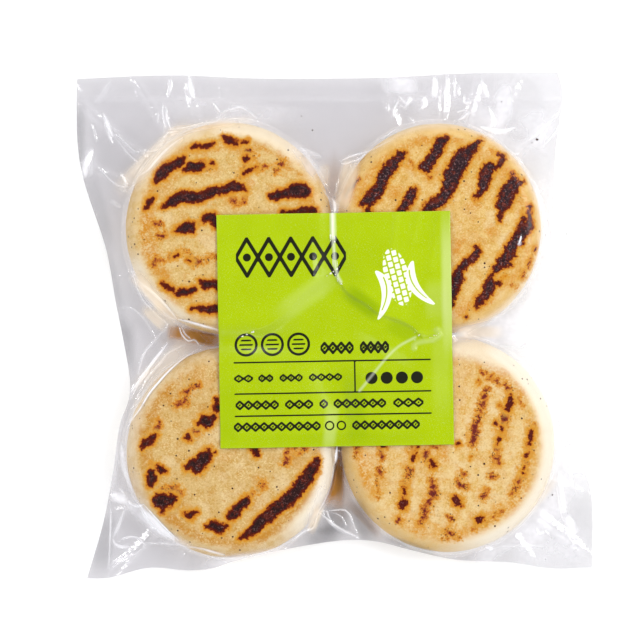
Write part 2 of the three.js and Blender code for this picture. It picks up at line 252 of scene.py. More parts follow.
# Pale dough in painted light.
PALE_LIT_SIDE = (255, 245, 222)
PALE_FADE = (0.45, 1)  # where a paler stretch fades, by its spread
PALE_RISE = 6  # how far outwards it takes to be full
# Scorching by distance outside a mark in mm.
CHAR_TONES = (
    (-0.8, (84, 20, 8)), (0.0, (104, 30, 4)), (0.25, (158, 72, 12)), (0.55, (208, 126, 26)),
    (1.2, (222, 156, 40)), (3.2, (228, 184, 84)),
)
BURN_TONES = (
    (-1.6, (112, 24, 8)), (-0.9, (148, 58, 12)), (-0.3, (198, 114, 24)), (0.7, (220, 150, 36)),
    (2.8, (228, 180, 80)),
)
CREAM = (240, 214, 164)
BLUSH = (220, 164, 86)
PALE_GRAIN = (244, 220, 160)
DULL_GRAIN = (190, 150, 78)
RUST = (124, 46, 28)
SOOT = (28, 16, 16)
PEPPER = (70, 26, 14)
ASH = (196, 158, 156)

# Print on the label in mm from its centre. Bars: left, low, right, high, corner radius.
BARS = (
    (-50.5, -15.9, 47, -15.1, 0.1), (-50.5, -31.4, 47, -30.6, 0.1), (-50.5, -42.4, 47, -41.6, 0.1),
    (8.9, -31.2, 9.7, -15.4, 0.1), (14.5, -27.2, 20.5, -21.2, 3), (22, -27.2, 28, -21.2, 3),
    (29.5, -27.2, 35.5, -21.2, 3), (37, -27.2, 43, -21.2, 3),
)
# Round outlines: x, y, radius, half the stroke. The three large ones carry griddle stripes.
RINGS = (
    (-44.3, -6.8, 5.1, 0.65), (-31.3, -6.8, 5.1, 0.65), (-18.3, -6.8, 5.1, 0.65),
    (-3.6, -47.4, 2, 0.4), (2.2, -47.4, 2, 0.4),
)
RING_STRIPES = (-2.2, 0, 2.2)
STRIPED_RADIUS = 4  # rings larger than this have them
STRIPE_STROKE = 0.45
STRIPE_INSET = 1.7
# Chains of diamonds: left, right, middle height, half height, half a diamond, half the stroke.
CHAINS = (
    (-48.5, 6, 36.4, 10, 5.45, 0.85),
    (-7.5, 9, -9, 3.1, 2.06, 0.55), (12, 26.5, -9, 3.1, 2.06, 0.55),
    (-50.5, -41, -23.4, 2, 1.9, 0.42), (-38.5, -31, -23.4, 2, 1.9, 0.42),
    (-28, -16.5, -23.4, 2, 1.9, 0.42), (-13.5, 3, -23.4, 2, 1.9, 0.42),
    (-50, -28.5, -36.6, 2.4, 2.15, 0.48), (-25.5, -11.5, -36.6, 2.4, 2.15, 0.48),
    (-8.5, -4.2, -36.6, 2.4, 2.15, 0.48), (-1.5, 24.5, -36.6, 2.4, 2.15, 0.48),
    (28, 43, -36.6, 2.4, 2.15, 0.48),
    (-51, -8, -47.4, 2.4, 2.15, 0.48), (7.5, 41, -47.4, 2.4, 2.15, 0.48),
)
SEED_SHARE = 0.2  # radius of the dot in each diamond, by the diamond's half height
# Ear of corn: x, y, half width, half length, lean in degrees. Kernel: width, length.
ICON = (31, 25.5, 6.2, 14.5, 14)
KERNEL = (3.1, 3.4)
KERNEL_GAP = 0.42
# Each leaf: half width, half length, how far below the ear's middle by the ear's half length, and
# how strongly it bends. Its vein: half stroke, half length and slant.
LEAF = (2.6, 12, 0.42, 0.035)
VEIN = (0.4, 8, 0.1)
PRINT_EDGE = (0.12, -0.12)  # how soft the edges of the print are
LIME = (168, 193, 4)
LIME_DEEP = (163, 187, 0)
LIME_SHADE = (136, 166, 0)
LIME_SHEEN = (0.9, 0.95, 0.6, 1)
# Painted sheen on the label where its slack paper catches the light, and painted shade where it turns
# away.
LABEL_SHEEN = (
    (56, 22, 3.5, 34, 0, 0.24), (-14, 17, 18, 6, 35, 0.08), (50, 14, 6, 10, 0, 0.07),
    (52, -20, 5, 26, 0, 0.04), (-3, -48, 3.5, 12, -8, 0.16), (24, -10, 16, 3, -30, 0.05),
)
LABEL_SHADE = (
    (14, 13, 12, 5, -38, 0.75), (33, -1, 9, 5, -30, 0.4), (-54, -42, 6, 18, 0, 0.25),
    (0, -54, 50, 4, 0, 0.2), (9, -38, 6, 20, 4, 0.4),
)
PRINT_BLACK = (32, 34, 22)
PRINT_WHITE = (244, 250, 226)
LABEL_BACK = (236, 238, 226)
LABEL_CREASE_WHITE_HIGHLIGHT = (0.9, 0.95, 0.75, 1)
# Creases: height, half width left and right of the way it runs, whiteness (creased paper with painted
# highlight), line.
LABEL_CREASES = (
    (1.5, 1.9, 1.5, 1.0, ((-0.5, 57.5), (-0.5, 51.5), (-0.5, 45))),
    (1.1, 1.2, 1.0, 0.65, ((-0.5, 46), (0, 38.5), (0.5, 32), (1.5, 26.5), (3, 23.5))),
    (1.1, 7, 1.3, 0, ((3, 23.5), (6, 19), (9, 16.5), (15.5, 12.5), (20.5, 8.5), (26.5, 6),
                      (33.5, 3.5), (39, 0), (41, -2.5))),
    (0.7, 1.8, 1.8, 0, ((41, -2.5), (46, -3), (48.5, -2.5), (50.5, -1))),
    (0.6, 2, 2, 0.1, ((50.5, -1), (51.5, -4), (48.5, -6))),
    (0.6, 2, 1.6, 0.15, ((39, -10), (39.5, -8), (42.5, -7), (48, -6), (51.5, -4))),
    (0.4, 1, 1, 0.32, ((39.5, -4.5), (31, -9), (24.5, -15), (19, -21.5), (11.5, -30.5))),
    (1.3, 4.5, 15, 0, ((-6, 25.5), (-12.5, 21), (-18, 16), (-24, 9), (-32, 3.5), (-38, 1))),
    (0.5, 3, 3, 0, ((31.5, 57), (29, 39.5))),
    (0.5, 3.5, 3.5, 0, ((42, 56.5), (38.5, 42.5))),
    (0.5, 4, 4, 0, ((52.5, 56.5), (49, 39), (47, 29.5))),
    (0.5, 3, 3, 0, ((-11.5, 44), (-10.5, 26.5))),
)

CRUMB_CORNERS = 6
CRUMB_RISE = 0.7  # half height of a crumb by its radius
CRUMB_LENGTH = 0.8  # length in y by the width in x
CRUMB_RAGGED = (0.3, 3.7)  # how much its radius changes, and the turn from corner to corner
CRUMB_GAP = 0.15  # from the lower film
# Dark crumbs loose inside the film: x, y, radius.
CRUMBS = (
    (-11, 98, 0.5), (101, 93.2, 0.75), (98.5, 91.5, 0.35), (83.5, 112, 0.4), (105.5, 45.5, 0.5),
    (109, -84.5, 0.6), (107, -86, 0.35), (-16.5, 105, 0.35), (-101, 39, 0.35), (-96.3, 33.5, 0.5),
    (-96, 30.5, 0.4), (116, 46, 0.3),
)

# Floor, light and camera: place, size and watts of each softbox.
FLOOR = 3000
FLOOR_GLOW = 0.45  # light the floor adds, so that it stays white beside the pack
FLOOR_GREYS = (0.6, 0.62)
FLOOR_HEIGHT = -0.3
LIGHTS = {
    "key": ((900, 250, 1100), (380, 420), 8.6),
    "fill": ((-900, 300, 1000), (120, 560), 3.2),
    "back": ((0, 1100, 900), (560, 120), 3.2),
    "front": ((0, -1100, 900), (560, 120), 2.6),
}
# White walls round a darker ceiling: brightness by height of the direction, 0 level and 1 up.
SURROUNDINGS = ((0.0, 1.1), (0.5, 1.05), (0.72, 0.75), (0.88, 0.36), (0.95, 0.12), (1.0, 0.08))
WALL_COLOUR = (0.97, 0.98, 1.0)
CAMERA_PLACE = (-7.25, 3.0, 1110)
CAMERA_LENS = 123.75
CAMERA_SENSOR = 36
CAMERA_CLIP = 20  # metres

# Griddle marks read from each cake: strokes of (x, y, half width) from its centre.
MARKS = {
    "nw": {
        "char": (
            ((-17.5, 40, 0.7), (-12.5, 40.5, 1.1), (-7.5, 41.5, 0.7)),
            ((-1.5, 44.5, 1), (0.5, 43, 2.1), (3.5, 42, 1.2)),
            ((6.5, 42, 0.6), (9.5, 42.5, 0.6)),
            ((8.5, 34, 1.1), (9, 34.5, 1)),
            ((-36, 23, 1.1), (-33.5, 26, 2.6), (-31, 29, 2.6), (-27.5, 31, 2.3), (-24, 32.5, 2.3),
             (-22.5, 34, 1.2)),
            ((-21, 29, 1.5), (-18, 30, 2.3), (-15, 30, 2.4), (-12.5, 31, 1.2)),
            ((-8.5, 32, 0.8), (-8, 32, 0.8)),
            ((7.5, 26.6, 0.4), (10.5, 28.6, 0.9), (13.5, 29.8, 0.5)),
            ((-26.5, -14, 0.3), (-24.5, -13.2, 0.5)), ((-20.5, -15.6, 0.2), (-18.5, -16.5, 0.3)),
            ((-32.5, 10.5, 1.1), (-28.5, 12.5, 2.1), (-24, 15, 2.8), (-19, 15, 2.7), (-14, 15, 2.3),
             (-10, 17, 2.1), (-6, 18.5, 2.2), (-1.5, 18.5, 2.1), (2.5, 20.5, 2.4), (6, 20, 1.5),
             (8.5, 18.5, 0.8)),
            ((-37, 14.5, 0.8), (-39, 13, 1.2), (-40.5, 10, 1.1)),
            ((21, 15.5, 1), (24, 16, 2.1), (28, 17, 1.9), (31.5, 18, 3), (36, 18.5, 3.6), (39, 18, 2)),
            ((-25.5, -1.5, 1.2), (-22, -0.5, 2.2), (-19, 1, 2.4), (-18, -1, 1.5)),
            ((-11.5, 4.5, 1.7), (-8.5, 5.5, 2.2), (-6, 3, 2.9)),
            ((27, 8, 0.8), (31.5, 7.5, 1.1), (37, 8.5, 1.5), (42.5, 8.5, 1.5)),
            ((-33, -27.5, 0.7), (-31, -29, 1.4), (-27.5, -31, 0.8)),
            ((-25.5, -33, 0.7), (-23, -31.5, 1.6), (-20, -32, 1.5), (-16.5, -30, 1)),
            ((-13.5, -26.5, 1.1), (-11.5, -28, 2.1), (-8, -27.5, 1.7), (-5, -28.5, 2.1)),
            ((-19, -40, 0.5), (-15, -39.5, 1.1), (-10.5, -40.5, 1.4), (-5, -40, 2)),
        ),
        "burn": (
            ((10, 38, 1.3), (10.5, 37, 1.2)),
            ((12.5, 35.5, 0.8), (11, 34.5, 0.6)),
            ((6, 25.5, 0.8), (9, 28, 1.4), (11.5, 29, 1.7), (14.5, 30, 1)),
            ((8, 30, 0.7), (10, 29, 0.8)),
            ((17, 30, 0.5), (18.5, 30.5, 0.4)),
            ((1.5, 17, 1), (2, 13.5, 1), (4.5, 11, 0.8), (7.5, 12.5, 0.9), (8, 15, 0.6)),
            ((-28.5, -14.5, 0.9), (-25, -13, 1.5), (-21, -12, 0.8)),
            ((-19, -14.5, 0.9), (-16.5, -17, 1.2), (-13, -16, 0.7), (-5.5, -14, 0.8)),
            ((-37, -18, 0.9), (-35.5, -16.5, 1.3), (-32.5, -16, 0.7)),
            ((-36, 2, 1), (-33.5, 2, 0.8)),
            ((-34, -4, 1.1), (-32, -3.5, 0.8)),
            ((23.5, 28.5, 0.9), (24, 28.5, 0.8)),
            ((26, 31.5, 1.1), (27.5, 32, 0.9)),
            ((-14.5, 2, 1.2), (-12.5, 3.5, 1.2)),
            ((-8, 31, 1.5), (-11.5, 29.5, 1)),
        ),
        "toast": (
            ((-24, 37.5, 1.5), (-11.5, 38.5, 1.5), (3.5, 40, 2), (11.5, 38.5, 2.5), (11.5, 32.5, 2.5)),
            ((-38.5, 18.5, 2.5), (-40, 6.5, 3), (-38.5, -6, 3), (-35, -17, 2.5), (-28, -31.5, 2.5)),
            ((-37.5, -5, 2.5), (-29, -2, 2.5), (-23, 3, 2)),
            ((21.5, 30.5, 2.5), (27.5, 30.5, 2.5)),
            ((2, 13.5, 3), (6, 13, 3)),
            ((-30, 23.5, 2), (-25, 27.5, 2)),
            ((8.5, 19.5, 3), (10.5, 21.5, 2)),
            ((35.5, 11.5, 3), (43, 13.5, 2.5), (41.5, 19.5, 2)),
            ((-21, -44.5, 1.5), (-11.5, -44.5, 1.5)),
        ),
    },
    "sw": {
        "char": (
            ((-44, 3, 0.9), (-41.5, 5.5, 1.8), (-38.5, 7.5, 1.6), (-37, 9, 1)),
            ((-7, 26.5, 1.1), (-6.5, 22.5, 2)),
            ((-15.5, 15, 1.1), (-12.5, 17, 2.4), (-11.5, 14.5, 2), (-8, 18.5, 1)),
            ((-21.5, -7, 1), (-19, -5.5, 2.1), (-16, -6, 3.7), (-13.3, -2.4, 3.3), (-11.4, -0.2, 2.2)),
            ((-39.5, -9.5, 1.5), (-39, -12.5, 2.5), (-40, -15.5, 1.2)),
            ((-36, -6, 0.7), (-34, -8, 1.8), (-32, -9, 0.8)),
            ((-36.5, -23, 2), (-34.5, -23.5, 3.7), (-31, -23.5, 3.1), (-28, -22, 1.8)),
            ((-33.5, -26.5, 2), (-33.5, -28.5, 1)),
            ((-22, -30, 1.1), (-19.5, -30.5, 1.8), (-17, -29, 0.8)),
            ((-12, -36.5, 1), (-8.5, -35.5, 2.1), (-5.5, -37.5, 2.4), (-2, -36, 1)),
            ((-0.5, -31.5, 1.5), (2, -30, 2.6), (5, -26, 2), (7.5, -23.5, 2.1)),
            ((4.5, -42, 0.7), (8, -40.5, 1.8), (12, -37, 2.6), (17, -32.5, 2.9), (22, -28, 3.1),
             (27, -24, 3.1), (32.5, -19.5, 3.1), (36.5, -14, 3.2), (40.5, -8, 2.9), (43, -3.5, 1.5)),
            ((12, 1.5, 1.7), (13, -0.5, 1.3)),
            ((-22, 7.5, 0.6), (-21, 8.3, 0.9), (-20.5, 7, 0.7)),
            ((-7.6, 0.5, 0.4), (-7.2, 0.5, 0.4)),
        ),
        "burn": (
            ((-37, 9.5, 1.2), (-36, 13, 1.3), (-35, 15.5, 0.9)),
            ((-26, 24, 1.2), (-23, 25.5, 1.8)),
            ((-22, 29.5, 1.3), (-20, 31.5, 1.1)),
            ((-18.5, 33, 1.1), (-15.5, 33.5, 1)),
            ((-19, 10.5, 1), (-16.5, 11, 1.6), (-15, 12.5, 1)),
            ((-33.5, -17.5, 1.1), (-30, -19.5, 1.4), (-26.5, -17, 1.3), (-24.5, -20, 1)),
            ((7.5, -23.5, 1.7), (9.5, -21.5, 1.5), (12, -20, 0.8)),
            ((15.5, -15.5, 1.4), (16, -16, 1.1)),
            ((27.5, -4.5, 1.2), (28, -0.5, 1), (28.5, 1.5, 0.8)),
            ((34.5, 0.5, 1.1), (36.5, 2.5, 1)),
            ((31.5, 2.5, 1), (32.5, 2, 1)),
            ((-9.5, 2.5, 0.8), (-8.5, 1.5, 0.6)),
            ((-38.5, -6, 0.8), (-36.5, -6.5, 0.8)),
        ),
        "toast": (
            ((-43, 11.5, 3), (-39.5, 20.5, 3.5), (-35, 29, 3.5), (-28, 37.5, 3.5), (-20, 43.5, 3)),
            ((-27, 24.5, 3), (-22, 28.5, 3), (-17, 32.5, 2.5)),
            ((-39.5, 6.5, 2.5), (-44.5, 0.5, 2)),
            ((-39.5, -4, 2.5), (-35, -12, 2)),
            ((-32.5, -31, 2.5), (-22.5, -39, 3), (-12.5, -43, 3), (2.5, -45.5, 3), (15.5, -43.5, 3),
             (27, -35, 3), (39.5, -21, 3)),
            ((-17, 16.5, 3), (-17, 9.5, 2.5), (-13, 21.5, 2.5)),
            ((-17, -4, 4.5), (-12, -1, 4)),
            ((10.5, -26, 3), (15.5, -17, 2)),
            ((-19, -29, 3), (-22, -33, 2)),
            ((-25, -23, 3), (-29, -17, 2.5)),
            ((0, -34, 3.5), (-7.5, -39.5, 2.5)),
            ((27.5, -2, 2.5), (34.5, 1.5, 2.5)),
        ),
    },
    "se": {
        "char": (
            ((-8.5, -8, 1.1), (-7.5, -10.5, 1.4)),
            ((-22.5, -28.5, 1.8), (-23, -30, 1.6)),
            ((3, -27, 1.7), (5, -28.5, 1.8)),
            ((30.5, 24.5, 0.7), (30.2, 21, 1.7), (29, 18, 1.4)),
            ((41, 7.5, 0.6), (40.3, 3.8, 1.1), (40, 0.8, 0.9)),
            ((15, -37, 1.6), (16, -36.5, 1.3)),
            ((38.6, -4, 0.5), (38.3, -5.5, 0.6)), ((37, -11, 0.2), (36.3, -14, 0.3)),
            ((14.6, 31, 0.3), (14.9, 31, 0.3)), ((25.2, 19.6, 0.4), (26, 19.2, 0.2)),
            ((23, 11, 0.3), (23.1, 10.6, 0.3)), ((11, -6, 0.4), (11.1, -6.2, 0.4)),
            ((4.5, 0.5, 0.8), (5, 0.5, 0.8)),
            ((-15.5, -1, 0.4), (-16, -4, 0.6), (-17.5, -7, 0.8)),
            ((-32.5, -0.5, 0.8), (-32, -0.5, 0.8)),
            ((25, 3.5, 0.6), (24.4, 1, 0.7)), ((26.3, 9, 0.2), (26.2, 6.5, 0.3)),
            ((-22, -22, 1.2), (-22, -23, 1)),
        ),
        "burn": (
            ((-45.5, -1, 0.8), (-46, -5.5, 0.5)),
            ((-34, -2.5, 1.2), (-33, -6.5, 1.4)),
            ((-34, -11.5, 1), (-34.5, -15, 1.4)),
            ((-18.5, -0.5, 1), (-17, -5, 1.1)),
            ((-19.5, -12.5, 1.6), (-20, -15, 1.3)),
            ((-22, -20, 1.8), (-22.5, -24, 1.8)),
            ((-22.5, -27, 2.1), (-23, -30.5, 2)),
            ((-24.5, -36.5, 1.2), (-25, -37.5, 1)),
            ((-11.5, -4, 1.8), (-11, -7, 1.7)),
            ((-9, -7.5, 1.5), (-7, -10.5, 1.4)),
            ((-8, -16.5, 1), (-8, -21, 1.9), (-7.5, -25, 1.9)),
            ((-9.5, -27, 1.3), (-11.5, -30.5, 1.9), (-12, -33.5, 1.9), (-14, -38, 1.2)),
            ((6.5, -15, 1.3), (8, -14, 1)),
            ((4.5, -17, 0.7), (5.5, -21, 1), (8.5, -20.5, 0.9)),
            ((2.5, -26.5, 1.8), (5.5, -28.5, 2)),
            ((0.5, -35, 0.9), (2, -37, 1.3)),
            ((-1, -43, 1), (2, -44, 1)),
            ((19, 27.8, 1.3), (17.3, 23.5, 1.4), (16, 18.5, 1.6), (14.7, 13, 1.7),
             (13, 8, 1.9), (12, 4, 1.9), (11.6, 1, 1.5)),
            ((30, 27.5, 1.4), (30.3, 22.5, 2.3), (29, 17.8, 2.1), (27.2, 12.5, 1.8),
             (26, 8, 1.8), (24.9, 2.6, 1.8), (23.7, -2.7, 1.5)),
            ((22.3, -6.3, 1.3), (24.5, -7.4, 1.8)),
            ((20.5, -15.5, 0.8), (22.5, -15.5, 1.1)),
            ((18.5, -22.5, 1), (17, -26, 1.3)),
            ((14, -37, 1.3), (16, -36.5, 1.8)),
            ((13.5, -40, 0.8), (13, -41.5, 0.6)),
            ((41.5, 9.8, 0.8), (40.7, 4.2, 1.6), (40, -0.5, 1.3), (38.7, -5, 1.2), (38, -9, 1.3),
             (36.8, -12, 1.5), (35.8, -15.8, 1.2), (33.5, -20.5, 0.9), (31, -24.5, 0.8)),
            ((-8.5, -0.5, 0.8), (-5.5, -1, 0.7)),
            ((16, 36.4, 0.7), (20.7, 33.8, 1), (24.5, 31, 1.1), (28.3, 29, 1.1), (30.5, 27, 1.1)),
            ((34, 23, 0.4), (36, 19.5, 0.3)),
            ((17.5, -38.5, 0.2), (22, -36, 0.5), (26.5, -32, 0.2)),
            ((-36, -18, 0.1), (-35, -25, 0.2)), ((-4, -46, 0.1), (5, -46.5, 0.1)),
        ),
        "toast": (
            ((-45, -0.5, 1.5), (-43, -12.5, 2), (-42, -20, 2)),
            ((-33.5, -0.5, 2.5), (-34.5, -16, 2.5), (-37, -25, 2.5)),
            ((-18, -0.5, 2.5), (-21, -17, 3), (-23, -34.5, 2.5)),
            ((-10.5, -2.5, 3), (-7.5, -15, 3), (-8.5, -24.5, 3), (-13, -34.5, 3), (-14.5, -43, 3)),
            ((6.5, -15, 3), (6, -20, 2.5)),
            ((4.5, -27, 3), (1.5, -36, 2.5), (0.5, -43, 3)),
            ((17.5, 27.5, 3), (15.5, 17.5, 3), (12.5, 6.5, 3.5), (10.5, 0.5, 3)),
            ((30, 28.5, 3), (29, 18.5, 3.5), (26, 8.5, 3), (24, 0, 3), (23, -8.5, 3),
             (21.5, -16, 2)),
            ((17.5, -23, 3), (16.5, -27, 2.5)),
            ((40.5, 10, 2), (40, 0, 2.5), (38, -8.5, 2.5), (34.5, -17, 2.5), (30.5, -24, 2)),
            ((17.5, 35, 1.5), (22, 33, 1.7), (25, 29.5, 1.5)),
            ((14.5, -37, 3.5), (20.5, -34, 3), (25, -29.5, 2)),
            ((1.5, -44, 2.5), (10.5, -43, 2.5), (16.5, -40, 3)),
            ((-3, -0.5, 2.5), (-1.5, -6.5, 2)),
            ((-21.5, -47, 2.5), (-9.5, -49.5, 2.5), (5.5, -49.5, 2.5)),
        ),
    },
    "ne": {
        "char": (
            ((-38, 12.5, 1.7), (-34.5, 14.5, 3.1), (-30.5, 19, 3), (-28, 24.5, 2.8), (-25.5, 28.5, 3.1),
             (-21.8, 33, 2.6), (-19.5, 35.5, 2.3), (-17.3, 37.2, 0.7)),
            ((-34, 12.5, 1.7), (-35.5, 8, 1.3)),
            ((-9, 30, 1.5), (-6.5, 30, 2.6), (-4, 34, 2.6), (-1, 38.5, 2.8), (0.5, 42, 2.7),
             (3, 44, 1.4)),
            ((-6, 9.5, 2.5), (-2, 12, 3), (2, 15, 2.7), (4.5, 20, 3.3), (6.3, 26, 4.3), (9.2, 31, 4.5),
             (11.5, 35.5, 3.8), (14.5, 38, 2.5), (17.5, 40.5, 1.6), (20, 43, 1.2)),
            ((18.5, 15.5, 1.5), (21, 18.5, 1.7), (22, 22, 2.9), (23, 27, 3.4), (25, 30.5, 2.5),
             (27.5, 29.5, 1.4)),
            ((27.5, 29, 0.9), (30, 32, 1.1), (31.5, 35, 1.1), (29, 36.5, 0.8)),
            ((29.5, 3.5, 0.7), (29.8, 7, 1.2), (31.2, 11.5, 3.5), (33, 16, 3.8), (35.6, 20, 3.5),
             (36.8, 23.5, 2.2), (35.8, 26, 1.1)),
            ((38.5, 21.5, 1.6), (41, 23, 0.8)),
            ((44.6, 11, 0.6), (44.4, 8, 1.4), (44.6, 4.5, 0.9), (43.8, 1, 2.8), (40.5, -2.5, 3),
             (38, -6, 2.9), (35.2, -10, 2.7), (33.6, -13.5, 3), (31.3, -16.5, 3),
             (28.2, -20.5, 1.7), (25, -24, 0.8), (25, -28.5, 3.2), (23.8, -32, 2.5),
             (19.5, -36.5, 2.1), (18.4, -39, 0.9)),
            ((42, 5, 0.9), (40.3, 1.5, 1.4)), ((39, -7.5, 1.3), (41, -8, 1)),
            ((31, -15.5, 2), (34.6, -17.8, 1)), ((35, -13, 1.4), (37.4, -14, 0.8)),
            ((45.2, -15.6, 0.1), (44, -19, 0.2)), ((41.9, -22, 0.1), (40.6, -24.5, 0.2)),
            ((30.8, -25, 0.2), (32.4, -23.9, 0.2)),
            ((25, -28, 2), (29.2, -27.2, 1.4)),
            ((-4.8, 24.5, 0.3), (-4.7, 24.4, 0.3)),
            ((-46.8, 16, 0.5), (-45, 19, 0.8), (-42.5, 21.5, 0.6), (-40.8, 24, 0.4)),
            ((48, -10.2, 0.3), (47.6, -10.8, 0.3)),
            ((12.9, -44.4, 0.3), (13.3, -44.1, 0.3)),
            ((-19.3, 8, 2.1), (-16.4, 12.3, 2.6), (-14.3, 15.5, 2.6), (-13.2, 18, 2.1)),
            ((5.5, -37.5, 1.5), (7, -31, 2.3), (8.5, -25, 3.1), (10, -21, 2), (13, -17, 1.6),
             (16, -15, 2), (19, -11.5, 1.6), (18, -9.5, 0.9)),
        ),
        "burn": (
            ((25.5, 37.5, 0.7), (27.5, 36.5, 0.8), (30, 36, 0.9)),
            ((47, -10, 0.8), (48.5, -9.5, 0.6)),
            ((42.5, 7.5, 1.6), (41.5, 4.5, 2), (43.5, 1, 2)),
            ((45.5, -14, 0.4), (43.5, -17.5, 0.6), (44.5, -19, 0.3)),
            ((40.5, -22, 0.6), (42, -24, 0.4), (39.5, -24.5, 0.3)),
            ((36.5, -28.5, 0.5), (38, -30, 0.4)),
            ((31.5, -25, 0.5), (33, -23.5, 0.4)),
            ((-46.5, 15, 0.4), (-45, 18.5, 0.6), (-43.5, 19.5, 0.4)),
            ((-42, 21, 0.6), (-41, 23, 0.4)),
            ((-3.5, 9.5, 2.5), (3.5, 15.5, 1.5)),
            ((-15, 33.5, 0.6), (-13, 29.5, 0.6)),
        ),
        "toast": (
            ((-43.5, 15.5, 2.5), (-38.5, 23.5, 3), (-30.5, 31, 3), (-22, 37.5, 2.5), (-14.5, 40.5, 2)),
            ((-38, 11, 3), (-27, 17.5, 3), (-20.5, 17.5, 2.5)),
            ((25.5, -1.5, 2.5), (26, -2, 2.5)),
            ((16.5, 10.5, 1.5), (19, 12.5, 1.5)),
            ((46, -1.5, 3), (45.5, -11, 3.5), (42, -20, 3.5), (36, -28.5, 3)),
            ((44, 14, 2.5), (40.5, 24, 2.5), (33, 33, 2.5)),
            ((-5, 23.5, 2.5), (-2, 27.5, 2)),
            ((37.5, 17.5, 2.5), (41.5, 18.5, 2), (43, 13.5, 2)),
            ((-12.5, 29.5, 2.5), (-17, 31.5, 2.5)),
            ((7.5, -11, 2), (11, -6, 1.5)),
            ((27, 27.5, 2.5), (31.5, 31, 2.5)),
        ),
    },
}

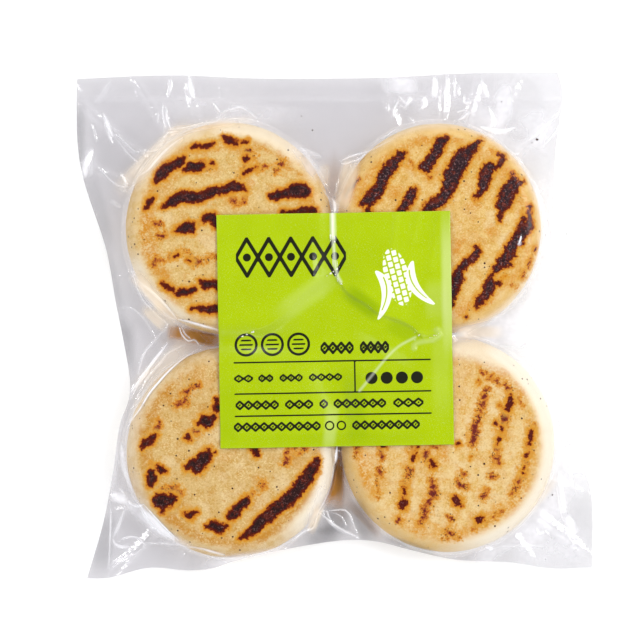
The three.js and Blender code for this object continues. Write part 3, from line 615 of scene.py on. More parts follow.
# Crisp folds of the film: height, half width, whiteness (whitened film with painted highlight), line.
FOLDS = (
    # Fan in the upper left corner
    (0.9, 1.0, 1.0, ((-116, 106.5), (-114, 102.5), (-113, 99), (-111, 95))),
    (0.6, 0.6, 0.8, ((-114, 101.5), (-113, 96.5), (-111, 91.5))),
    (0.6, 0.6, 0.45, ((-111, 96.5), (-107, 94), (-103, 90), (-99, 86.5))),
    (0.5, 0.5, 0.3, ((-109, 94), (-105, 88.5), (-101, 84), (-96, 80.5))),
    # Foot of the film under it
    (0.5, 0.5, 0.35, ((-99, 86.5), (-95, 87), (-91, 87), (-87, 89.5), (-85, 94), (-83, 96),
      (-78, 97.5))),
    # Pleats above the upper left cake
    (0.6, 0.5, 0.5, ((-86, 111), (-86, 107), (-85, 102), (-85, 97.5))),
    (0.7, 0.6, 0.75, ((-84, 109.5), (-84, 105.5), (-83, 101), (-82, 98.5))),
    (0.4, 0.5, 0.35, ((-88, 107), (-88, 102))),
    # Foot of the film above that cake
    (0.5, 0.5, 0.4, ((-85, 97.5), (-77, 98.5), (-67, 101), (-58, 102.5), (-57, 106), (-52, 108),
      (-47, 109), (-43, 107), (-39, 103.5))),
    (0.4, 0.4, 0.25, ((-82, 98.5), (-74, 99), (-65, 101.5), (-58, 103.5), (-54, 106.5),
      (-48, 107.5))),
    # Across the heat seal
    (0.7, 0.9, 0.35, ((-82, 124.5), (-82, 120), (-83, 115))),
    (1.0, 1.3, 1.0, ((-72.5, 124.5), (-72, 119.5), (-71, 114.5))),
    (0.6, 0.6, 0.8, ((-60, 111), (-59, 109), (-57.5, 107))),
    # Faint ones in the upper left corner
    (0.5, 0.6, 0.25, ((-121, 102), (-120, 97.5), (-119, 92.5))),
    (0.5, 1.6, 0.22, ((-120, 111), (-116, 116), (-112, 122))),
    # Bright one at the left edge
    (0.9, 1.5, 0.95, ((-121, 88.5), (-123, 84), (-125, 79.5), (-125, 74.5))),
    # Thin one beside it
    (0.4, 0.4, 0.3, ((-118, 79), (-114, 75), (-109, 70.5), (-104, 68.5))),
    # Kinks left of the upper left cake
    (0.6, 0.6, 0.8, ((-107, 76), (-105, 73.5), (-104, 70))),
    (0.4, 0.4, 0.5, ((-108, 70), (-105, 69.5), (-103, 69.5))),
    (0.4, 0.4, 0.35, ((-107, 68), (-104, 67.5))),
    # Pale one under them
    (0.4, 1.2, 0.3, ((-112, 63), (-109, 61), (-107, 59.5))),
    # Along the upper left cake's edge
    (0.4, 0.6, 0.75, ((-98.5, 74), (-96, 75.5), (-92.5, 77.5), (-89, 81.5), (-85, 86),
      (-80.5, 90), (-75.5, 93.5))),
    (0.3, 0.4, 0.3, ((-95, 76.5), (-91, 81.5), (-86, 87.5), (-80, 92.5), (-72, 96), (-61, 98.5))),
    (0.3, 0.4, 0.3, ((-100.5, 75), (-97.5, 80), (-93, 85.5), (-88, 90), (-83, 94))),
    (0.3, 0.6, 0.25, ((-98.5, 74), (-100.5, 71), (-101, 66.5))),
    # Facets under the upper left cake
    (0.5, 0.7, 1.0, ((-98, 23), (-94.5, 20), (-88.5, 15), (-84.5, 11), (-81, 7), (-78.5, 3.5))),
    (0.5, 0.7, 0.9, ((-78.5, 3.5), (-72, 2), (-65, 0), (-57.5, -2))),
    (0.4, 0.5, 0.95, ((-101, 28), (-99, 20.5), (-96, 13.5), (-91.5, 8.5), (-87, 4), (-84, 1.5),
      (-83.5, -1))),
    (0.3, 0.4, 0.35, ((-98, 21.5), (-96, 15.5), (-90.5, 9), (-86, 5))),
    (0.3, 0.5, 0.5, ((-86, 7.5), (-83, 4.5), (-79, 3))),
    # Between the left cakes
    (0.5, 0.6, 0.4, ((-84, -1), (-87, -4), (-91, -8.5), (-95, -13.5), (-97, -19), (-98, -24))),
    # Arc at the left edge
    (0.4, 0.5, 0.25, ((-107, 9), (-102, 9), (-97, 5.5), (-93, 0.5), (-90, -5), (-87, -8))),
    # Between the left cakes
    (0.3, 0.4, 0.85, ((-78, 1), (-76.5, -4), (-73, -7.5), (-70, -7), (-67.5, -10))),
    (0.3, 0.4, 0.6, ((-77, 1), (-75, -3.5), (-72, -6.5))),
    # Braid above the lower left cake
    (0.8, 0.8, 1.0, ((-83, -8), (-86, -12), (-90, -17), (-94, -22.5), (-98, -28), (-101, -32),
      (-103, -35.5))),
    (0.5, 0.5, 0.8, ((-88, -15), (-92, -20), (-94, -24), (-98, -29), (-100, -33), (-102, -37))),
    (0.5, 0.6, 0.35, ((-74, -9), (-78, -11), (-83, -13.5), (-87, -18.5), (-92, -24.5),
      (-96, -31), (-100, -38))),
    # Along the lower left cake's edge
    (0.4, 0.6, 0.95, ((-67.5, -11.5), (-72, -14), (-77, -17.5), (-82, -22), (-87, -27.5),
      (-92, -33.5), (-96.5, -41), (-101, -47), (-104, -51))),
    (0.3, 0.4, 0.3, ((-70, -12), (-78, -17), (-85.5, -23.5), (-92, -31), (-97.5, -39.5),
      (-102.5, -46.5))),
    # Left of the lower left cake
    (0.5, 1.4, 0.95, ((-106.5, -58), (-106, -65), (-105, -71.5), (-103, -77.5), (-101, -83))),
    (0.4, 0.6, 0.6, ((-108, -80.5), (-106, -83), (-104, -86))),
    # At the corner of that cake
    (0.5, 2.2, 0.8, ((-112, -85.5), (-108, -86), (-104, -87))),
    (0.5, 0.7, 0.9, ((-104, -87), (-101, -89), (-98, -90), (-95, -88.5))),
    # Facet under the lower left cake
    (0.6, 2.4, 1.0, ((-96, -89.5), (-94, -93.5), (-90, -98), (-86, -102), (-80, -105.5))),
    (0.4, 0.5, 1.0, ((-95, -88), (-90, -93.5), (-84, -100), (-78, -106))),
    # The side seal
    (0.4, 0.5, 0.6, ((-112, -88.5), (-112, -97), (-112.5, -109.5), (-113, -121))),
    # Loops in the lower left corner
    (0.4, 0.9, 0.4, ((-105, -91), (-107, -97), (-109, -102), (-111, -106))),
    (0.4, 0.8, 0.75, ((-111, -106), (-110, -109), (-107, -110.5), (-103, -110.5))),
    (0.4, 0.5, 0.5, ((-108, -107.5), (-105, -106), (-101, -105.5), (-98, -106.5), (-95, -109))),
    (0.4, 0.5, 0.5, ((-95, -110.5), (-100, -114), (-106, -117.5), (-111, -121))),
    (0.3, 0.4, 0.35, ((-104, -114), (-108, -116.5), (-111, -119))),
    # Foot of the film below that cake
    (0.4, 0.5, 0.4, ((-95, -108.5), (-87, -108.5), (-80, -109), (-72, -110))),
    (0.4, 0.7, 0.9, ((-72, -109.5), (-65.5, -110.5), (-60, -112), (-54.5, -113.5))),
    (0.3, 0.4, 0.3, ((-76, -110.5), (-68, -112.5), (-61, -115.5), (-54, -118))),
    # Between the lower cakes
    (0.4, 0.5, 0.9, ((-8, -92.5), (-9, -96.5), (-11, -101), (-15, -102.5), (-21, -107))),
    (0.4, 0.4, 0.6, ((-4, -92.5), (0.5, -92), (5, -92), (7.5, -94.5), (9, -98), (11, -103))),
    (0.4, 0.4, 0.4, ((-6, -92), (-4.5, -96), (0.5, -101), (6, -104))),
    (0.3, 0.5, 0.45, ((0, -66), (-2, -80), (-6, -89), (-8, -92.5))),
    (0.4, 0.6, 1.0, ((1.2, -59), (0.8, -63.5), (0.4, -68))),
    (0.6, 0.6, 0.85, ((-8, -93), (-4, -96), (0, -99.5), (4, -102), (8, -104), (12, -105.5))),
    (0.4, 0.4, 0.7, ((-8, -93), (-4, -92.5), (-3, -95), (-2, -97.5))),
    (0.3, 0.4, 0.35, ((-2, -93), (3, -95), (6, -100))),
    # Bright one at the right edge
    (0.7, 1.1, 1.0, ((112, -74), (113, -80), (114, -86.5), (115, -93))),
    # Thin one beside it
    (0.4, 0.4, 0.3, ((111, -80.5), (112, -88), (113, -93.5), (115, -99))),
    # Bright one at the right edge
    (0.6, 2.2, 0.8, ((116, -95), (118, -99), (120, -104))),
    # Thin one beside it
    (0.4, 0.4, 0.4, ((115, -100.5), (117, -105), (119, -108.5))),
    # Short arcs in the lower right corner
    (0.4, 0.4, 0.5, ((101, -101.5), (102, -103.5), (104, -104))),
    (0.4, 0.4, 0.5, ((105, -102), (107, -104))),
    # Glint under the lower right cake
    (0.5, 0.7, 1.0, ((75, -110), (77, -111), (79, -111.5))),
    # Lines beside it
    (0.4, 0.5, 0.2, ((79, -111.5), (84, -110), (94, -110), (105, -110.5))),
    (0.3, 0.4, 0.4, ((58.5, -113.5), (65.5, -112), (72.5, -110), (77.5, -107))),
    # Loop left of the upper right cake
    (0.5, 0.5, 0.8, ((3, 82.5), (7.5, 84.5), (12.5, 86), (16, 87))),
    (0.5, 0.5, 0.8, ((3, 82.5), (4, 81), (8.5, 82), (13.5, 84), (16, 87))),
    # Along the upper right cake's edge
    (0.3, 0.5, 0.7, ((24.5, 93.5), (28, 96.5), (32, 99))),
    (0.3, 0.4, 0.35, ((15.5, 89), (22, 93), (29, 96.5), (34.5, 98.5))),
    (0.3, 0.4, 0.3, ((7.5, 80), (13.5, 85), (21.5, 89), (29.5, 93))),
    (0.3, 0.5, 0.35, ((2, 74.5), (1, 69), (0, 64.5))),
    # Crumples above the upper right cake
    (0.6, 0.6, 0.9, ((29, 104), (30, 108.5), (32, 112.5))),
    (0.5, 0.6, 0.8, ((27, 111.5), (27, 107.5))),
    (0.6, 0.6, 0.8, ((32, 115), (34, 112.5), (36, 111))),
    (0.6, 0.8, 1.0, ((35, 109), (36, 110.5), (38, 113.5))),
    (0.6, 1.0, 1.0, ((43, 108.5), (45, 110), (45, 113.5))),
    (0.5, 0.5, 0.5, ((37, 104.5), (39, 102.5), (40, 100.5))),
    (0.5, 0.5, 0.5, ((30, 111), (33, 110), (36, 108.5))),
    # Pleats right of them
    (0.9, 1.3, 1.0, ((50, 124.5), (50.5, 120), (50, 115))),
    (0.8, 0.8, 0.9, ((56, 124.5), (56, 119.5), (54.5, 115.5))),
    (0.5, 0.5, 0.35, ((60, 125), (60, 120), (60, 115))),
    (0.5, 0.6, 0.4, ((62, 121), (62, 116))),
    (0.5, 0.5, 0.6, ((57, 115), (56.5, 110))),
    (0.6, 0.6, 0.7, ((65, 115.5), (65, 111.5), (68, 111.5))),
    (0.8, 1.0, 1.0, ((73, 123), (75, 119), (76, 114.5))),
    (0.5, 0.7, 0.8, ((61, 102.5), (64, 104), (67, 106.5))),
    (0.4, 0.5, 0.5, ((61, 106.5), (65, 108))),
    (0.6, 0.8, 0.7, ((77, 109.5), (79, 105), (80, 100))),
    # Swoosh over the upper right cake
    (0.6, 1.0, 1.0, ((73, 99.5), (77, 98), (81, 97), (86, 97.5), (90, 99))),
    # Streaks in the upper right corner
    (0.5, 0.9, 0.4, ((97, 92.5), (103, 97.5), (109, 103.5), (113, 108.5))),
    (0.5, 0.6, 0.4, ((105, 90.5), (109, 95), (112, 99.5))),
    # Band right of the upper left cake
    (0.4, 1.2, 0.4, ((-18, 89), (-13, 87), (-7, 84.5))),
    # Glint on the upper right cake
    (0.3, 0.45, 1.0, ((92.3, 45.2), (91.9, 43), (91.2, 40.8))),
    # Between the upper cakes
    (0.6, 0.7, 0.9, ((-1.5, 64.5), (0, 61), (0, 56.5))),
    (0.4, 0.5, 0.3, ((-6.5, 69), (-3.5, 64.5), (-0.5, 60))),
)

# ---- Numbers -------------------------------------------------------------------------------------


def smoothstep(value, low, high):
    share = np.clip((value - low) / (high - low), 0, 1)
    return share * share * (3 - 2 * share)


def noise(x, y, size, seed):
    """Smooth random heights from -1 to 1 over the plane, in lumps about size wide."""
    lattice = np.random.default_rng(seed).uniform(-1, 1, (LATTICE, LATTICE))
    u, v = x / size, y / size
    i, j = np.floor(u).astype(int), np.floor(v).astype(int)
    s, t = smoothstep(u - i, 0, 1), smoothstep(v - j, 0, 1)
    i, j, k, m = (place % LATTICE for place in (i, j, i + 1, j + 1))
    near = lattice[i, j] * (1 - s) + lattice[k, j] * s
    far = lattice[i, m] * (1 - s) + lattice[k, m] * s
    return near * (1 - t) + far * t


def relief(x, y, layers, seed=0):
    """Noise in layers, each with its height, size and seed."""
    return sum(height * noise(x, y, size, seed + own) for height, size, own in layers)


def turned(x, y, angle):
    """A place as it is along axes turned by an angle."""
    c, s = math.cos(angle), math.sin(angle)
    return x * c + y * s, y * c - x * s


def from_segment(x, y, start, end):
    """How far along a straight line a point is, 0 to 1, and its distance from the line."""
    east, north = x - start[0], y - start[1]
    dx, dy = end[0] - start[0], end[1] - start[1]
    share = np.clip((east * dx + north * dy) / (dx * dx + dy * dy + TINY), 0, 1)
    return share, np.hypot(east - share * dx, north - share * dy)


def smooth_line(points, steps):
    """A centripetal Catmull-Rom curve through the points, as three.js draws it."""
    p = [np.array(q, float) for q in points]
    p = [2 * p[0] - p[1], *p, 2 * p[-1] - p[-2]]
    line = []
    for a, b, c, d in zip(p, p[1:], p[2:], p[3:]):
        ab, bc, cd = (max(np.linalg.norm(h - g) ** 0.5, 1e-6) for g, h in ((a, b), (b, c), (c, d)))
        start = ((b - a) / ab - (c - a) / (ab + bc) + (c - b) / bc) * bc
        end = ((c - b) / bc - (d - b) / (bc + cd) + (d - c) / cd) * bc
        for t in np.arange(steps) / steps:
            line.append(b + start * t + (3 * (c - b) - 2 * start - end) * t**2
                        + (2 * (b - c) + start + end) * t**3)
    line.append(p[-2])
    return np.array(line)


def even_points(line, count):
    """That many points spread evenly by length along a polyline."""
    far = np.concatenate(([0], np.cumsum(np.linalg.norm(np.diff(line, axis=0), axis=1))))
    wanted = np.linspace(0, far[-1], count)
    return np.stack([np.interp(wanted, far, line[:, axis]) for axis in (0, 1)], axis=1)


def soft_patches(patches, x, y):
    """Sum of soft-edged patches, each with its own place, size, turn and strength."""
    total = 0 * x
    for east, north, half_wide, half_long, turn, strength in patches:
        a, b = turned(x - east, y - north, math.radians(turn))
        away = ((a / half_wide) ** 4 + (b / half_long) ** 4) ** 0.25
        total = total + strength * (1 - smoothstep(away, *PATCH_EDGE))
    return total


# ---- Shape of the pouch, as in the part's source -------------------------------------------------

rim_line = np.concatenate([smooth_line(side, CURVE_STEPS)[:-1] for side in SIDES.values()])
rim_spans = list(zip(rim_line, np.roll(rim_line, -1, axis=0)))


def rim_distance(x, y):
    least = np.full(np.shape(x), np.inf)
    for span in rim_spans:
        least = np.minimum(least, from_segment(x, y, *span)[1])
    return least


def inside_rim(x, y):
    crossings = np.zeros(np.shape(x), int)
    for (x0, y0), (x1, y1) in rim_spans:
        if y0 != y1:
            between = (y0 > y) != (y1 > y)
            crossings += between & (x < x0 + (y - y0) / (y1 - y0) * (x1 - x0))
    return crossings % 2 == 1


def cake_radius(cake, angle):
    return cake["radius"] - cake["oval"] * np.cos(2 * angle)


def from_cake(cake, x, y):
    """Bearing from the cake's centre, and how far outside its widest line."""
    angle = np.arctan2(y - cake["y"], x - cake["x"])
    return angle, np.hypot(x - cake["x"], y - cake["y"]) - cake_radius(cake, angle)


def from_cakes(x, y):
    """How far outside the widest line of each cake, the nearest cake first."""
    return np.sort([from_cake(cake, x, y)[1] for cake in CAKES.values()], axis=0)


def tent_reach(cake, angle):
    return TENT_HUG * (TENT_REACH + TENT_SWAY * np.sin(3 * angle + cake["x"]))


def shoulder(outside, reach):
    share = np.clip((outside + EDGE_REACH) / (EDGE_REACH + reach), 0, 1)
    return (1 - share * share) ** HUG_POWER


def seam_height(x, y, from_rim):
    """Height of the margin: its corners are bent up or down and broad folds run across it."""
    east, north = (x / HALF_WIDTH + 1) / 2, (y / HALF_LENGTH + 1) / 2
    lift = north * (east * CORNER_LIFT["ne"] + (1 - east) * CORNER_LIFT["nw"])
    lift = lift + (1 - north) * (east * CORNER_LIFT["se"] + (1 - east) * CORNER_LIFT["sw"])
    cornered = (x / HALF_WIDTH) ** 2 * (y / HALF_LENGTH) ** 2
    folds = 0
    for name, bearing, height, half in BROAD_FOLDS:
        cake = CAKES[name]
        angle, outside = from_cake(cake, x, y)
        aside = angle - math.radians(bearing)
        aside = np.abs(np.arctan2(np.sin(aside), np.cos(aside))) * (cake["radius"] + outside)
        ridge = np.maximum(0, 1 - aside / half) ** FOLD_POWER
        folds = folds + height * ridge * smoothstep(outside, *FOLD_START)
    rising = FOLD_AT_RIM + (1 - FOLD_AT_RIM) * smoothstep(from_rim, 0, FOLD_RISE)
    return SEAM_HEIGHT + lift * cornered + folds * rising


def on_label(x, y):
    """Where a point is on the label, in mm from the label's centre along its sides."""
    return turned(x - LABEL_CENTRE[0], y - LABEL_CENTRE[1], LABEL_TURN)


def blend(heights):
    return np.sum(np.array(heights) ** VALLEY_SHARPNESS, axis=0) ** (1 / VALLEY_SHARPNESS)


def pinch(x, y, from_rim):
    """0 at the rim, where the films meet, rising to 1 inside it: sooner where a cake is close."""
    free = smoothstep(from_cakes(x, y)[0], *PINCH_START)
    reach = RIM_REACH * (PINCH_CLOSE + (1 - PINCH_CLOSE) * free)
    return np.sqrt(np.clip(from_rim / reach, 0, 1))


def upper_height(x, y, from_rim):
    """Height of the upper film: drawn from the margin up to the cakes, held out by the label."""
    seam = seam_height(x, y, from_rim) + SEAL_GAP / 2
    middle = np.hypot(x - MIDDLE[0], y - MIDDLE[1]) / BRIDGE_SPREAD
    bridge = LABEL_BRIDGE * np.exp(-middle * middle)
    u, v = on_label(x, y)
    held = smoothstep(np.maximum(np.abs(u), np.abs(v)) - LABEL_SIZE / 2, *LABEL_HOLD)
    heights = []
    for cake in CAKES.values():
        angle, outside = from_cake(cake, x, y)
        dome = CROWN * np.clip(-(outside + EDGE_REACH) / cake["radius"], 0, 1)
        reach = tent_reach(cake, angle)
        reach = reach + (LABEL_REACH - reach) * held + bridge
        heights.append((cake["height"] + dome - seam) * shoulder(outside, reach))
    return seam + blend(heights) * pinch(x, y, from_rim)


def lower_height(x, y, from_rim):
    """Height of the lower film: drawn from the margin down to the floor under the cakes."""
    seam = seam_height(x, y, from_rim) - SEAL_GAP / 2
    depths = []
    for cake in CAKES.values():
        angle, outside = from_cake(cake, x, y)
        depths.append(seam * shoulder(outside, tent_reach(cake, angle)))
    return np.maximum(0, seam - blend(depths) * pinch(x, y, from_rim))


# ---- Blender helpers -----------------------------------------------------------------------------


def show(name, data):
    """An object in the scene that holds the data."""
    made = bpy.data.objects.new(name, data)
    bpy.context.scene.collection.objects.link(made)
    return made


def make_mesh(name, points, faces, material, facts, replaces):
    """One smooth-shaded piece of the object, from points in millimetres and facts at each point."""
    mesh = bpy.data.meshes.new(name)
    mesh.from_pydata((np.asarray(points, float) * MM).tolist(), [], np.asarray(faces).tolist())
    for key, values in facts.items():
        layer = mesh.attributes.new(key, "FLOAT", "POINT")
        layer.data.foreach_set("value", np.asarray(values, np.float32))
    mesh.polygons.foreach_set("use_smooth", [True] * len(mesh.polygons))
    mesh.materials.append(material)
    mesh.update()
    piece = show(name, mesh)
    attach(piece, "root")
    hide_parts(*replaces)


def grid_faces(cells, start=0):
    """Quads of a square grid of points, so many cells to a side, that is stored row by row."""
    i, j = np.meshgrid(np.arange(cells), np.arange(cells), indexing="ij")
    corner = start + (i * (cells + 1) + j).ravel()
    return np.stack([corner, corner + cells + 1, corner + cells + 2, corner + 1], axis=1)


def grid_border(cells):
    """The points round such a grid, in order."""
    step = np.arange(cells)
    index = np.arange((cells + 1) ** 2).reshape(cells + 1, cells + 1)
    return np.concatenate([index[cells, step], index[cells - step, cells],
                           index[0, cells - step], index[step, 0]])


def band_faces(ring, below):
    """Quads between two rings of points."""
    return np.stack([ring, below, np.roll(below, -1), np.roll(ring, -1)], axis=1)


def linear(red, green, blue):
    """A colour given as 0 to 255 in sRGB, as the shaders take it."""
    share = np.array([red, green, blue]) / 255
    low, high = share / 12.92, ((share + 0.055) / 1.055) ** 2.4
    return (*np.where(share <= 0.04045, low, high).tolist(), 1.0)


def fill_ramp(node, stops):
    """Puts stops of (place from 0 to 1, colour) in a colour ramp."""
    elements = node.color_ramp.elements
    while len(elements) < len(stops):
        elements.new(1.0)
    for element, (place, colour) in zip(elements, stops):
        element.position = place
        element.color = colour


class Shader:
    """Short calls that build one material's nodes. Sizes are in mm."""

    def __init__(self, name):
        self.material = bpy.data.materials.new(name)
        self.material.use_nodes = True
        self.tree = self.material.node_tree
        self.tree.nodes.clear()
        self.here = self.node("ShaderNodeTexCoord").outputs["Object"]

    def node(self, kind, values=None, **settings):
        """A node with its settings, and a number, colour or another node's output in each socket."""
        made = self.tree.nodes.new(kind)
        for key, value in settings.items():
            setattr(made, key, value)
        for key, value in (values or {}).items():
            if isinstance(value, bpy.types.NodeSocket):
                self.tree.links.new(value, made.inputs[key])
            else:
                made.inputs[key].default_value = value
        return made

    def attribute(self, name):
        return self.node("ShaderNodeAttribute", attribute_name=name).outputs["Fac"]

    def math(self, operation, a, b):
        return self.node("ShaderNodeMath", {0: a, 1: b}, operation=operation).outputs[0]

    def plus(self, a, b):
        return self.math("ADD", a, b)

    def minus(self, a, b):
        return self.math("SUBTRACT", a, b)

    def times(self, a, b):
        return self.math("MULTIPLY", a, b)

    def noise(self, size, detail=3.0, roughness=0.55):
        """Noise from 0 to 1 in lumps about size wide."""
        values = {"Vector": self.here, "Scale": 1 / (size * MM), "Detail": detail,
                  "Roughness": roughness}
        return self.node("ShaderNodeTexNoise", values).outputs[0]

    def cells(self, size):
        """Distance to the nearest of many random points, in cells, and a random colour for each."""
        values = {"Vector": self.here, "Scale": 1 / (size * MM)}
        return self.node("ShaderNodeTexVoronoi", values)

    def span(self, value, low, high):
        """0 at low and 1 at high, smoothly between."""
        values = {"Value": value, "From Min": low, "From Max": high}
        return self.node("ShaderNodeMapRange", values, interpolation_type="SMOOTHSTEP").outputs[0]

    def between(self, share, low, high):
        """Low where the share is 0 and high where it is 1."""
        values = {"Value": share, "To Min": low, "To Max": high}
        return self.node("ShaderNodeMapRange", values).outputs[0]

    def mix(self, share, a, b):
        return self.node("ShaderNodeMix", {0: share, 6: a, 7: b}, data_type="RGBA").outputs[2]

    def over(self, colour, tone, share, strength=None):
        """The colour with a tone, given in sRGB, over it."""
        share = self.times(share, strength) if strength else share
        return self.mix(share, colour, linear(*tone))

    def layered(self, share, a, b):
        values = {0: share, 1: a.outputs[0], 2: b.outputs[0]}
        return self.node("ShaderNodeMixShader", values)

    def bump(self, height, distance, strength=1.0):
        """Bump by a height from 0 to 1 that stands for a distance."""
        values = {"Height": height, "Distance": distance * MM, "Strength": strength}
        return self.node("ShaderNodeBump", values).outputs[0]

    def finish(self, surface):
        self.node("ShaderNodeOutputMaterial", {"Surface": surface.outputs[0]})
        return self.material


# ---- Film ----------------------------------------------------------------------------------------


def film_waves(x, y, from_rim):
    """Slack in the film: broad waves in the margin and a faint ripple over the cakes."""
    margin = smoothstep(from_cakes(x, y)[0], *WAVES_START) * smoothstep(from_rim, 0, WAVES_RISE)
    calm = 1 - EAST_CALM * smoothstep(x, *EAST)
    broad = margin * relief(x, y, MARGIN_WAVES) * calm
    share = RIPPLE_ON_CAKES + (1 - RIPPLE_ON_CAKES) * margin
    return broad + share * relief(x, y, FILM_RIPPLE)


def film_shader(name, behind):
    """Clear glossy plastic: a lilac tint with painted shade and painted light in places, a little
    milkiness with painted sheen, white creases with painted highlights, and the colour of the dough
    that shows through it beside the cakes, painted with its light and shade."""
    s = Shader(name)
    snug = s.attribute("snug")
    wrinkles = s.plus(s.noise(7, 2), s.times(s.noise(2.2, 3), 0.35))
    normal = s.bump(wrinkles, 0.45)
    # Tint with painted light at the right and painted shade in patches.
    tint = s.mix(snug, FILM_TINT, SNUG_TINT)
    tint = s.mix(s.attribute("bright"), tint, WHITE)
    tint = s.mix(s.attribute("shade"), tint, (*[channel * SHADE for channel in FILM_TINT[:3]], 1))
    clear = s.node("ShaderNodeBsdfTransparent", {"Color": tint})
    milk = s.node("ShaderNodeBsdfDiffuse", {"Color": FILM_MILK, "Normal": s.bump(wrinkles, 0.2)})
    crust = s.node("ShaderNodeBsdfDiffuse", {"Color": linear(*behind)})
    rough = s.between(snug, SLACK_GLOSS, SNUG_GLOSS)
    gloss = s.node("ShaderNodeBsdfGlossy", {"Color": WHITE, "Roughness": rough, "Normal": normal})
    cloudy = s.plus(s.times(s.span(s.noise(19, 3), 0.3, 0.7), 0.8), 0.6)
    # Milkiness with painted sheen and crease highlights, then dough colour with its painted light and
    # shade.
    body = s.layered(s.times(s.attribute("white"), cloudy), clear, milk)
    body = s.layered(s.attribute("tan"), body, crust)
    facing = s.node("ShaderNodeLayerWeight", {"Blend": 0.5, "Normal": normal}).outputs["Facing"]
    grazing = s.times(s.math("POWER", facing, 5.0), 1 - FILM_MIRROR)
    mirror = s.plus(grazing, s.between(snug, FILM_MIRROR, SNUG_MIRROR))
    return s.finish(s.layered(mirror, body, gloss))


class Net:
    """Points of the film, no group of them closer to an earlier one than its clearance."""

    def __init__(self):
        self.groups = []
        self.taken = np.zeros((2 * int(NET_REACH / RASTER),) * 2, bool)

    def add(self, points, clearance):
        cells = ((points + NET_REACH) / RASTER).astype(int)
        free = ~self.taken[cells[:, 0], cells[:, 1]]
        cells = cells[free]
        self.groups.append(points[free])
        reach = int(clearance / RASTER)
        for i in range(-reach, reach + 1):
            for j in range(-reach, reach + 1):
                if i * i + j * j <= reach * reach:
                    self.taken[cells[:, 0] + i, cells[:, 1] + j] = True


def crease_rows(half, line):
    """Points in rows along a crease, and how wide it is at each, narrowing to its ends."""
    line = smooth_line(line, CREASE_CURVE_STEPS)
    length = np.linalg.norm(np.diff(line, axis=0), axis=1).sum()
    line = even_points(line, max(6, int(length / CREASE_STEP)))
    along = np.gradient(line, axis=0)
    aside = np.stack([-along[:, 1], along[:, 0]], axis=1)
    aside /= np.linalg.norm(aside, axis=1)[:, None]
    halves = half * CREASE_WIDTH * np.sin(np.pi * np.linspace(0.03, 0.97, len(line))) ** 0.5
    rows = [line + aside * (halves * share)[:, None] for share in (-1, -0.5, 0, 0.5, 1)]
    return line, halves, np.concatenate(rows)


def ring_points(cake):
    """Rings of points over a cake's side and round it."""
    rings = []
    for outside in RING_PLACES:
        count = int(2 * math.pi * (cake["radius"] + outside) / RING_STEP)
        angle = np.arange(count) / count * 2 * math.pi
        far = cake_radius(cake, angle) + outside
        rings.append(np.stack([cake["x"] + far * np.cos(angle), cake["y"] + far * np.sin(angle)],
                              axis=1))
    return np.concatenate(rings)


def film_net():
    """Points and triangles over the pouch's outline, dense along creases and down cakes' sides."""
    net = Net()
    rim = even_points(np.concatenate([rim_line, rim_line[:1]]), RIM_POINTS + 1)[:-1]
    net.add(rim, RIM_CLEAR)
    for height, half, shine, line in FOLDS:
        points = crease_rows(half, line)[2]
        net.add(points[inside_rim(*points.T)], CREASE_CLEAR)
    for cake in CAKES.values():
        points = ring_points(cake)
        nearest = from_cakes(*points.T)[0] == from_cake(cake, *points.T)[1]
        net.add(points[nearest & inside_rim(*points.T)], RING_CLEAR)
    x, y = np.meshgrid(np.arange(-FILM_REACH, FILM_REACH, FILM_STEP),
                       np.arange(-FILM_REACH, FILM_REACH, FILM_STEP * FILM_ROW))
    x = x + (np.arange(len(x)) % 2)[:, None] * FILM_STEP / 2
    points = np.stack([x.ravel(), y.ravel()], axis=1)
    net.add(points[inside_rim(*points.T)], 0)
    points = [Vector(point) for point in np.concatenate(net.groups)]
    made = delaunay_2d_cdt(points, [], [list(range(RIM_POINTS))], 1, 1e-5)
    return np.array([tuple(point) for point in made[0]]), np.array(made[2])


def crease_heights(x, y):
    """Height that the crisp folds add to the film, and how white they make it with painted highlights.
    """
    lift, white = 0 * x, 0 * x
    for height, half, shine, line in FOLDS:
        line, halves, rows = crease_rows(half, line)
        widest = np.max(halves)
        low, high = rows.min(axis=0) - 0.1, rows.max(axis=0) + 0.1
        near = (x > low[0]) & (x < high[0]) & (y > low[1]) & (y < high[1])
        least, narrow = np.full(near.sum(), 9.0), np.zeros(near.sum())
        for start, end, wide in zip(line, line[1:], halves):
            away = from_segment(x[near], y[near], start, end)[1] / wide
            narrow = np.where(away < least, wide / widest, narrow)
            least = np.minimum(least, away)
        inner = np.maximum(0, 1 - least)
        lift[near] = np.maximum(lift[near], height * inner ** CREASE_POWER * narrow)
        white[near] = np.maximum(white[near], shine * inner ** SHINE_POWER * narrow)
    return lift, white


def on_flanks(patches, x, y):
    """Soft patches that fade out towards the cakes' faces, sooner at the right."""
    nearest = from_cakes(x, y)[0] - PATCH_DELAY * smoothstep(x, *PATCH_EAST)
    return soft_patches(patches, x, y) * smoothstep(nearest, *PATCH_START)


def film_milk_and_sheen(x, y, beside):
    """Milkiness of the film, and painted sheen where slack film faces the light."""
    slack = smoothstep(from_cakes(x, y)[0], *SLACK_START)
    glare = smoothstep(x, *GLARE_START) * smoothstep(np.abs(y - EAST_MIDDLE), *GLARE_EDGE)
    white = MILK_OVER_CAKES + (MILK_BESIDE - MILK_OVER_CAKES) * beside
    white = white + (EAST_SHEEN * smoothstep(x, *SHEEN_START) + EAST_GLARE * glare) * slack
    place, half, strength = SEAL_LINE
    white = white + strength * (1 - smoothstep(np.abs(y - place), half * 0.6, half))
    return white + on_flanks(SHEEN_PATCHES, x, y)


